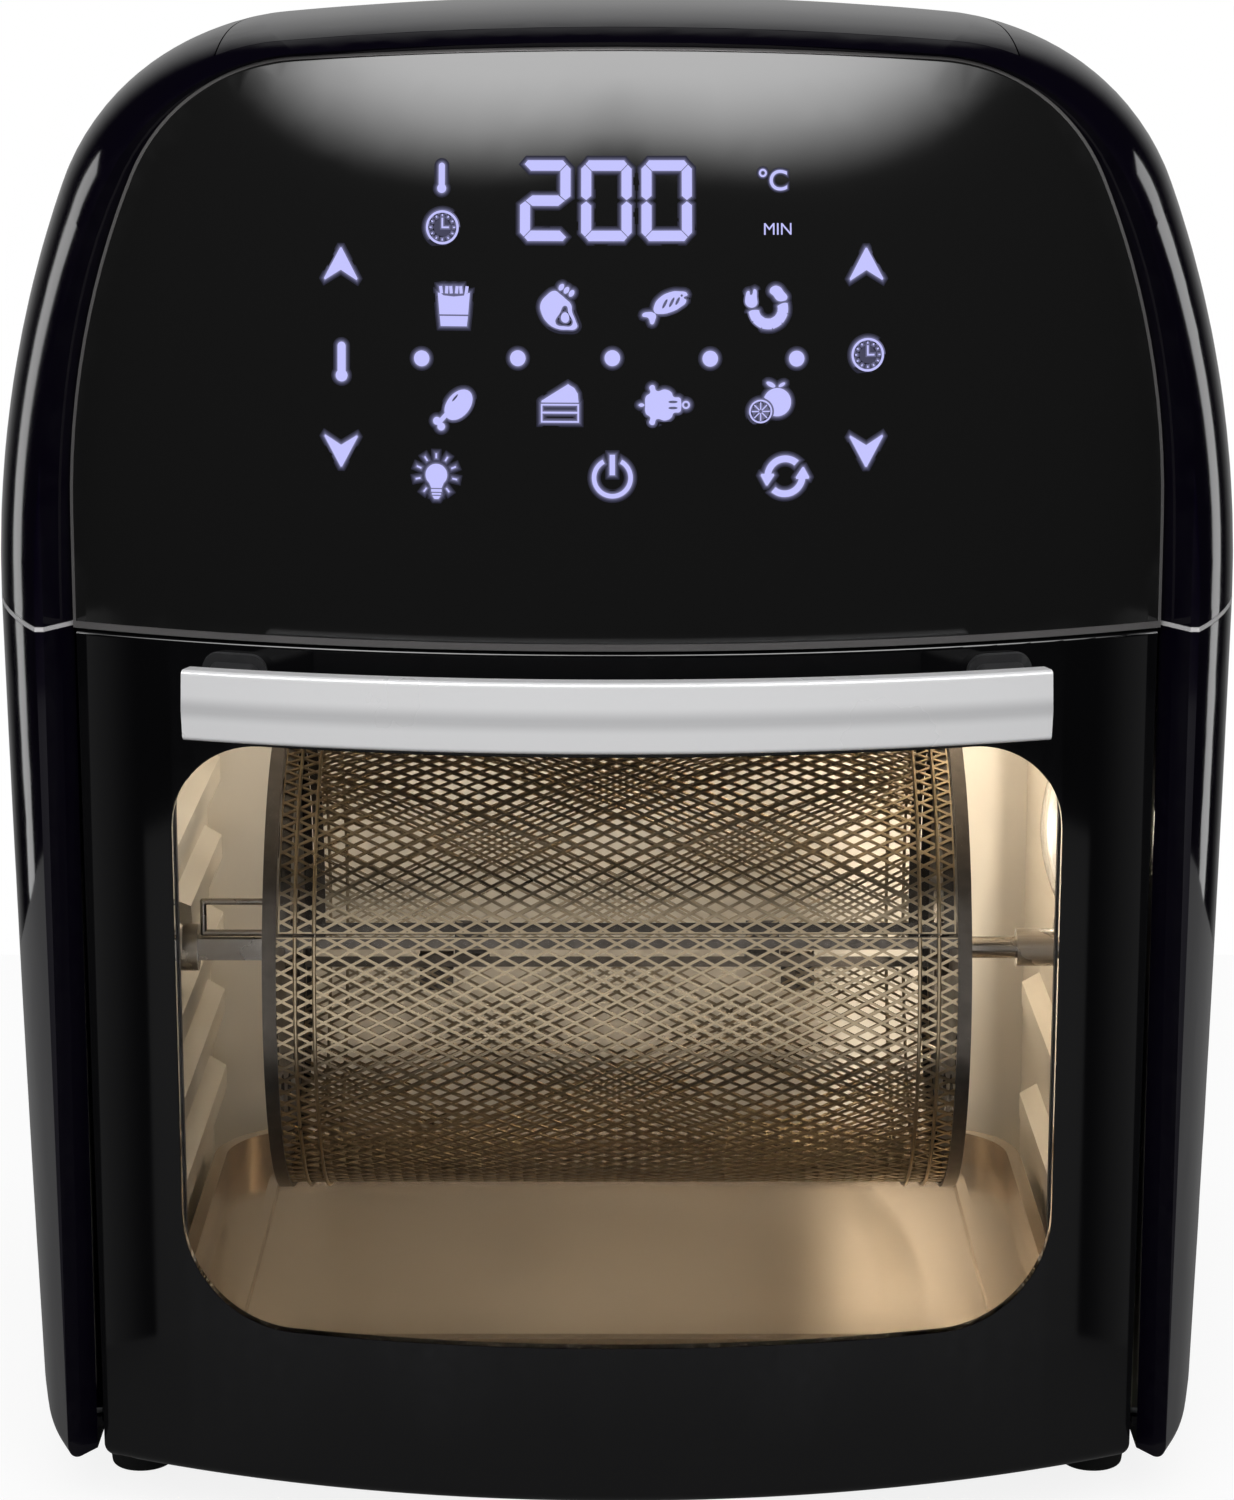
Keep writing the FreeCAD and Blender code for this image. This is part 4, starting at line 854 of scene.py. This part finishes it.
def split_loops(loops):
    """One list for each outermost loop, with the loops inside it."""
    outer = [a for a in loops if not any(within(a[0], b) for b in loops if b is not a)]
    return [[a] + [b for b in loops if b is not a and within(b[0], a)] for a in outer]


def flat_shape(loops, smooth, grow):
    """A flat filled curve turned to a mesh; a loop inside another is a hole."""
    data = bpy.data.curves.new("outline", "CURVE")
    data.dimensions = "2D"
    data.fill_mode = "BOTH"
    data.offset = grow
    data.resolution_u = 5
    for points in loops:
        line = data.splines.new("BEZIER" if smooth else "POLY")
        if smooth:
            line.bezier_points.add(len(points) - 1)
            for place, (x, y) in zip(line.bezier_points, points):
                place.co = (x * MM, y * MM, 0)
                place.handle_left_type = place.handle_right_type = "AUTO"
        else:
            line.points.add(len(points) - 1)
            for place, (x, y) in zip(line.points, points):
                place.co = (x * MM, y * MM, 0, 1)
        line.use_cyclic_u = True
    made = bpy.data.objects.new("outline", data)
    bpy.context.collection.objects.link(made)
    only(made)
    bpy.ops.object.convert(target="MESH")
    return bpy.context.object


def flat_word(text, size, grow):
    bpy.ops.object.select_all(action="DESELECT")
    bpy.ops.object.text_add()
    made = bpy.context.object
    made.data.body = text
    made.data.size = size * MM
    made.data.offset = grow * size / 12 + (WORD_BOLD if size > SMALL_WORD else 0.0)
    made.data.align_x = "CENTER"
    made.data.align_y = "CENTER"
    bpy.ops.object.convert(target="MESH")
    return bpy.context.object


def joined(objects):
    bpy.ops.object.select_all(action="DESELECT")
    for obj in objects:
        obj.select_set(True)
    bpy.context.view_layer.objects.active = objects[0]
    if len(objects) > 1:
        bpy.ops.object.join()
    return bpy.context.object


def stand_up(obj, x, z):
    """Stand a flat sign upright in front of the panel."""
    obj.rotation_euler.x = math.radians(90)
    obj.location = (x * MM, SIGN_START_Y, z * MM)
    apply_place(obj)
    return obj


def lay_on_panel(obj, lift, thickness):
    """Press a flat sign back onto the curved panel and give it a thin wall."""
    press = obj.modifiers.new("Press", "SHRINKWRAP")
    press.target = NODES["control_panel_glass"]
    press.wrap_method = "PROJECT"
    press.use_project_y = True
    press.use_positive_direction = True
    press.use_negative_direction = False
    apply_modifiers(obj)
    obj.location.y = -lift
    apply_place(obj)
    edit_all(obj)
    bpy.ops.mesh.remove_doubles(threshold=0.000001)
    bpy.ops.mesh.extrude_region_move(TRANSFORM_OT_translate={"value": (0, -thickness, 0)})
    bpy.ops.mesh.select_all(action="SELECT")
    bpy.ops.mesh.normals_make_consistent(inside=False)
    bpy.ops.object.mode_set(mode="OBJECT")
    return obj


def sign_mesh(name, draw, x, z, grow):
    shapes = [part for loops in draw() for part in split_loops(loops)]
    return stand_up(joined([flat_shape(part, name in SMOOTH, grow) for part in shapes]), x, z)


class OVEN_OT_panel_signs(bpy.types.Operator):
    """Draw the lit signs, digits and words on the control panel, with their soft glow"""

    bl_idname = "oven.panel_signs"
    bl_label = "Panel signs"

    def execute(self, context):
        sizes = context.scene.oven_signs
        colours = context.scene.oven_colours
        bright = lit("Lit sign", colours.sign, sizes.strength)
        w, h, t = sizes.digit_width / MM, sizes.digit_height / MM, sizes.segment / MM
        digits = [("digit_hundreds", -16.9, "abged"), ("digit_tens", -2.5, "abcdef"),
                  ("digit_units", 11.7, "abcdef")]
        drawn = [(name, x, DIGITS_Z, (lambda s=s: seven_segments(s, w, h, t))) for name, x, s in digits]
        drawn += SIGNS
        for name, x, z, draw in drawn:
            sign = lay_on_panel(sign_mesh(name, draw, x, z, 0.0), sizes.lift, SIGN_THICKNESS)
            hang(sign, "sign_" + name, "oven", bright)
        for name, text, x, z, size in WORDS:
            word = stand_up(flat_word(text, size, 0.0), x, z)
            hang(lay_on_panel(word, sizes.lift, SIGN_THICKNESS), "sign_" + name, "oven", bright)
        for step, share in enumerate(GLOW_SHARES, 1):
            grow = step * sizes.glow
            halo = [sign_mesh(name, draw, x, z, grow) for name, x, z, draw in drawn]
            halo += [stand_up(flat_word(text, size, grow), x, z)
                     for _, text, x, z, size in WORDS if size > SMALL_WORD]
            cover = lay_on_panel(joined(halo), sizes.lift * (1 - step * GLOW_DROP), GLOW_THICKNESS)
            glow = lit(f"Sign glow {step}", colours.sign, share, colours.panel)
            hang(cover, f"sign_glow_{step}", "oven", glow)
        return {"FINISHED"}


# ------------------------------------------------------------------ studio
def softbox(name, place, aim, width, height, gloss, full_at=0.0, roll=0.0):
    """A card of light that only reflections see. It fades to nothing towards its lower edge, below the share
    full_at of its height. Roll turns it about its aim."""
    bpy.ops.object.select_all(action="DESELECT")
    bpy.ops.mesh.primitive_grid_add(x_subdivisions=4, y_subdivisions=4, size=1)
    card = bpy.context.object
    card.name = name
    card.scale = (width, height, 1)
    apply_place(card)
    card.location = place
    facing = (Vector(place) - Vector(aim)).to_track_quat("Z", "Y")
    card.rotation_euler = (facing @ Quaternion((0, 0, 1), math.radians(roll))).to_euler()
    card.visible_shadow = False
    material = bpy.data.materials.new(name)
    material.use_nodes = True
    tree = material.node_tree
    tree.nodes.clear()
    low_edge, full = -height / 2 - MM, height * (full_at - 0.5)
    fade = add_ramp(tree, coordinate(tree, "Y"), low_edge, full, 0.0, 1.0, "SMOOTHSTEP")
    rays = tree.nodes.new("ShaderNodeLightPath").outputs
    light = tree.nodes.new("ShaderNodeEmission")
    clear = tree.nodes.new("ShaderNodeBsdfTransparent")
    either = tree.nodes.new("ShaderNodeMixShader")
    out = tree.nodes.new("ShaderNodeOutputMaterial")
    level = add_math(tree, "MULTIPLY", rays["Is Glossy Ray"], gloss)
    tree.links.new(add_math(tree, "MULTIPLY", level, fade), light.inputs["Strength"])
    tree.links.new(rays["Is Camera Ray"], either.inputs["Fac"])
    tree.links.new(light.outputs[0], either.inputs[1])
    tree.links.new(clear.outputs[0], either.inputs[2])
    tree.links.new(either.outputs[0], out.inputs["Surface"])
    card.data.materials.append(material)


def white_world(sheet):
    """White to the camera and through glass; soft grey light. Reflections see a dark room that is paler
    straight behind, with a bright sheet of this strength high in front."""
    world = bpy.data.worlds.new("Studio")
    bpy.context.scene.world = world
    world.use_nodes = True
    tree = world.node_tree
    ground = tree.nodes["Background"]
    ground.inputs["Color"].default_value = (*WHITE, 1)
    x, y, z = [coordinate(tree, axis, "Generated") for axis in "XYZ"]
    rays = tree.nodes.new("ShaderNodeLightPath").outputs
    behind = add_ramp(tree, y, 0.88, 1.0, ROOM_DARK, ROOM_PALE, "SMOOTHSTEP")
    height = add_math(tree, "MULTIPLY_ADD", add_math(tree, "ABSOLUTE", x), SHEET_SPREAD, z)
    high = add_ramp(tree, height, 0.7, 0.88, 0.0, sheet, "SMOOTHSTEP")
    in_front = add_ramp(tree, y, -0.46, -0.3, 1.0, 0.0)
    room = add_math(tree, "MULTIPLY_ADD", high, in_front, behind)
    unseen = add_mix(tree, rays["Is Glossy Ray"], ROOM_PLAIN, room)
    seen = add_math(tree, "MAXIMUM", rays["Is Camera Ray"], rays["Is Transmission Ray"])
    tree.links.new(add_mix(tree, seen, unseen, 1.0), ground.inputs["Strength"])


def pale_floor(low, high):
    """A pale floor under and before the oven that keeps its shadow; beyond it the background is as pale."""
    bpy.ops.object.select_all(action="DESELECT")
    bpy.ops.mesh.primitive_grid_add(x_subdivisions=8, y_subdivisions=8, size=1)
    floor = bpy.context.object
    floor.name = "studio_floor"
    floor.scale = (high[0] - low[0], high[1] - low[1], 1)
    floor.location = ((low[0] + high[0]) / 2, (low[1] + high[1]) / 2, 0)
    apply_place(floor)
    pale = Finish("Pale floor", (FLOOR_GREY, FLOOR_GREY, FLOOR_GREY), Roughness=0.9)
    pale.shader.inputs["Specular IOR Level"].default_value = 0.0
    pale.shader.inputs["Emission Color"].default_value = (*WHITE, 1)
    rays = pale.tree.nodes.new("ShaderNodeLightPath").outputs
    seen = add_math(pale.tree, "MAXIMUM", rays["Is Camera Ray"], rays["Is Transmission Ray"])
    level = add_math(pale.tree, "MULTIPLY", seen, FLOOR_SEEN)
    total = add_math(pale.tree, "MULTIPLY_ADD", rays["Is Glossy Ray"], FLOOR_IN_GLOSS, level)
    pale.tree.links.new(total, pale.shader.inputs["Emission Strength"])
    floor.data.materials.append(pale.material)


def area_lamp(name, place, aim, width, height, power, tint):
    """A rectangular lamp that reflections and the camera don't see."""
    lamp = bpy.data.objects.new(name, bpy.data.lights.new(name, "AREA"))
    bpy.context.collection.objects.link(lamp)
    lamp.data.shape = "RECTANGLE"
    lamp.data.size = width
    lamp.data.size_y = height
    lamp.data.energy = power
    lamp.data.color = tint
    lamp.location = place
    lamp.rotation_euler = (Vector(place) - Vector(aim)).to_track_quat("Z", "Y").to_euler()
    lamp.visible_camera = False
    lamp.visible_glossy = False
    lamp.visible_transmission = False


class OVEN_OT_stage(bpy.types.Operator):
    """Set up the camera, the floor, the softboxes and the light inside the oven"""

    bl_idname = "oven.stage"
    bl_label = "Studio"

    def execute(self, context):
        studio = context.scene.oven_studio
        colours = context.scene.oven_colours
        context.scene.view_settings.view_transform = "Standard"
        camera = bpy.data.objects.new("Camera", bpy.data.cameras.new("Camera"))
        context.collection.objects.link(camera)
        camera.location = (0, -studio.camera_distance, studio.camera_height)
        camera.rotation_euler = (math.radians(90) - studio.camera_tilt, 0, 0)
        camera.data.lens = studio.lens
        camera.data.sensor_width = 36
        camera.data.clip_start = 0.05
        camera.data.clip_end = 100
        context.scene.camera = camera
        white_world(studio.top_strength)
        pale_floor(FLOOR_LOW, FLOOR_HIGH)
        for side, label in ((-1, "left"), (1, "right")):
            softbox("strip_back_" + label, (side * 0.79, 0.92, 0.0), (side * 0.15, -0.1, 0.0), 0.11, 1.2,
                    studio.back_strength)
            place, aim = (side * 0.245, -0.15, DOOR_STRIP_Z), (side * 0.13, -0.11, DOOR_STRIP_Z)
            softbox("strip_door_" + label, place, aim, 0.215, 0.10, studio.side_strength, 1.0, side * -90)
        area_lamp("fill_light", (0, -1.3, 1.0), (0, -0.1, 0.2), 1.2, 0.8, studio.fill_power, WHITE)
        x, y, z = LENS_LOW.x, (LENS_LOW.y + LENS_HIGH.y) / 2, (LENS_LOW.z + LENS_HIGH.z) / 2
        area_lamp("oven_lamp_light", (x - 0.002, y, z), (0, y, z), 0.028, 0.028, studio.lamp_power,
                  colours.lamp)
        area_lamp("cavity_glow_light", (0, -0.01, CAVITY_TOP - 0.008), (0, -0.01, 0), 0.2, 0.12,
                  studio.glow_power, colours.lamp)
        return {"FINISHED"}


# ------------------------------------------------------------------ add-on
STEPS = ("shared_effects", "casing_finish", "panel_finish", "door_finish", "cavity_finish", "metal_finish",
         "drum_mesh", "panel_signs", "stage")


class OVEN_PT_panel(bpy.types.Panel):
    """The oven's pieces and finishes"""

    bl_idname = "OVEN_PT_panel"
    bl_label = "Rotisserie oven"
    bl_space_type = "VIEW_3D"
    bl_region_type = "UI"
    bl_category = "Oven"

    def draw(self, context):
        for step in STEPS:
            self.layout.operator("oven." + step)
        for group in ("oven_colours", "oven_drum", "oven_signs", "oven_studio"):
            settings = getattr(context.scene, group)
            column = self.layout.box().column()
            for name in settings.__annotations__:
                column.prop(settings, name)


CLASSES = (
    OvenColours, OvenDrumSizes, OvenSignSizes, OvenStudio,
    OVEN_OT_shared_effects, OVEN_OT_casing_finish, OVEN_OT_panel_finish, OVEN_OT_door_finish,
    OVEN_OT_cavity_finish, OVEN_OT_metal_finish, OVEN_OT_drum_mesh, OVEN_OT_panel_signs, OVEN_OT_stage,
    OVEN_PT_panel,
)


def register():
    for item in CLASSES:
        bpy.utils.register_class(item)
    bpy.types.Scene.oven_colours = PointerProperty(type=OvenColours)
    bpy.types.Scene.oven_drum = PointerProperty(type=OvenDrumSizes)
    bpy.types.Scene.oven_signs = PointerProperty(type=OvenSignSizes)
    bpy.types.Scene.oven_studio = PointerProperty(type=OvenStudio)


def unregister():
    for name in ("oven_studio", "oven_signs", "oven_drum", "oven_colours"):
        delattr(bpy.types.Scene, name)
    for item in reversed(CLASSES):
        bpy.utils.unregister_class(item)


def main():
    register()
    for step in STEPS:
        getattr(bpy.ops.oven, step)()


if __name__ == "__main__":
    main()
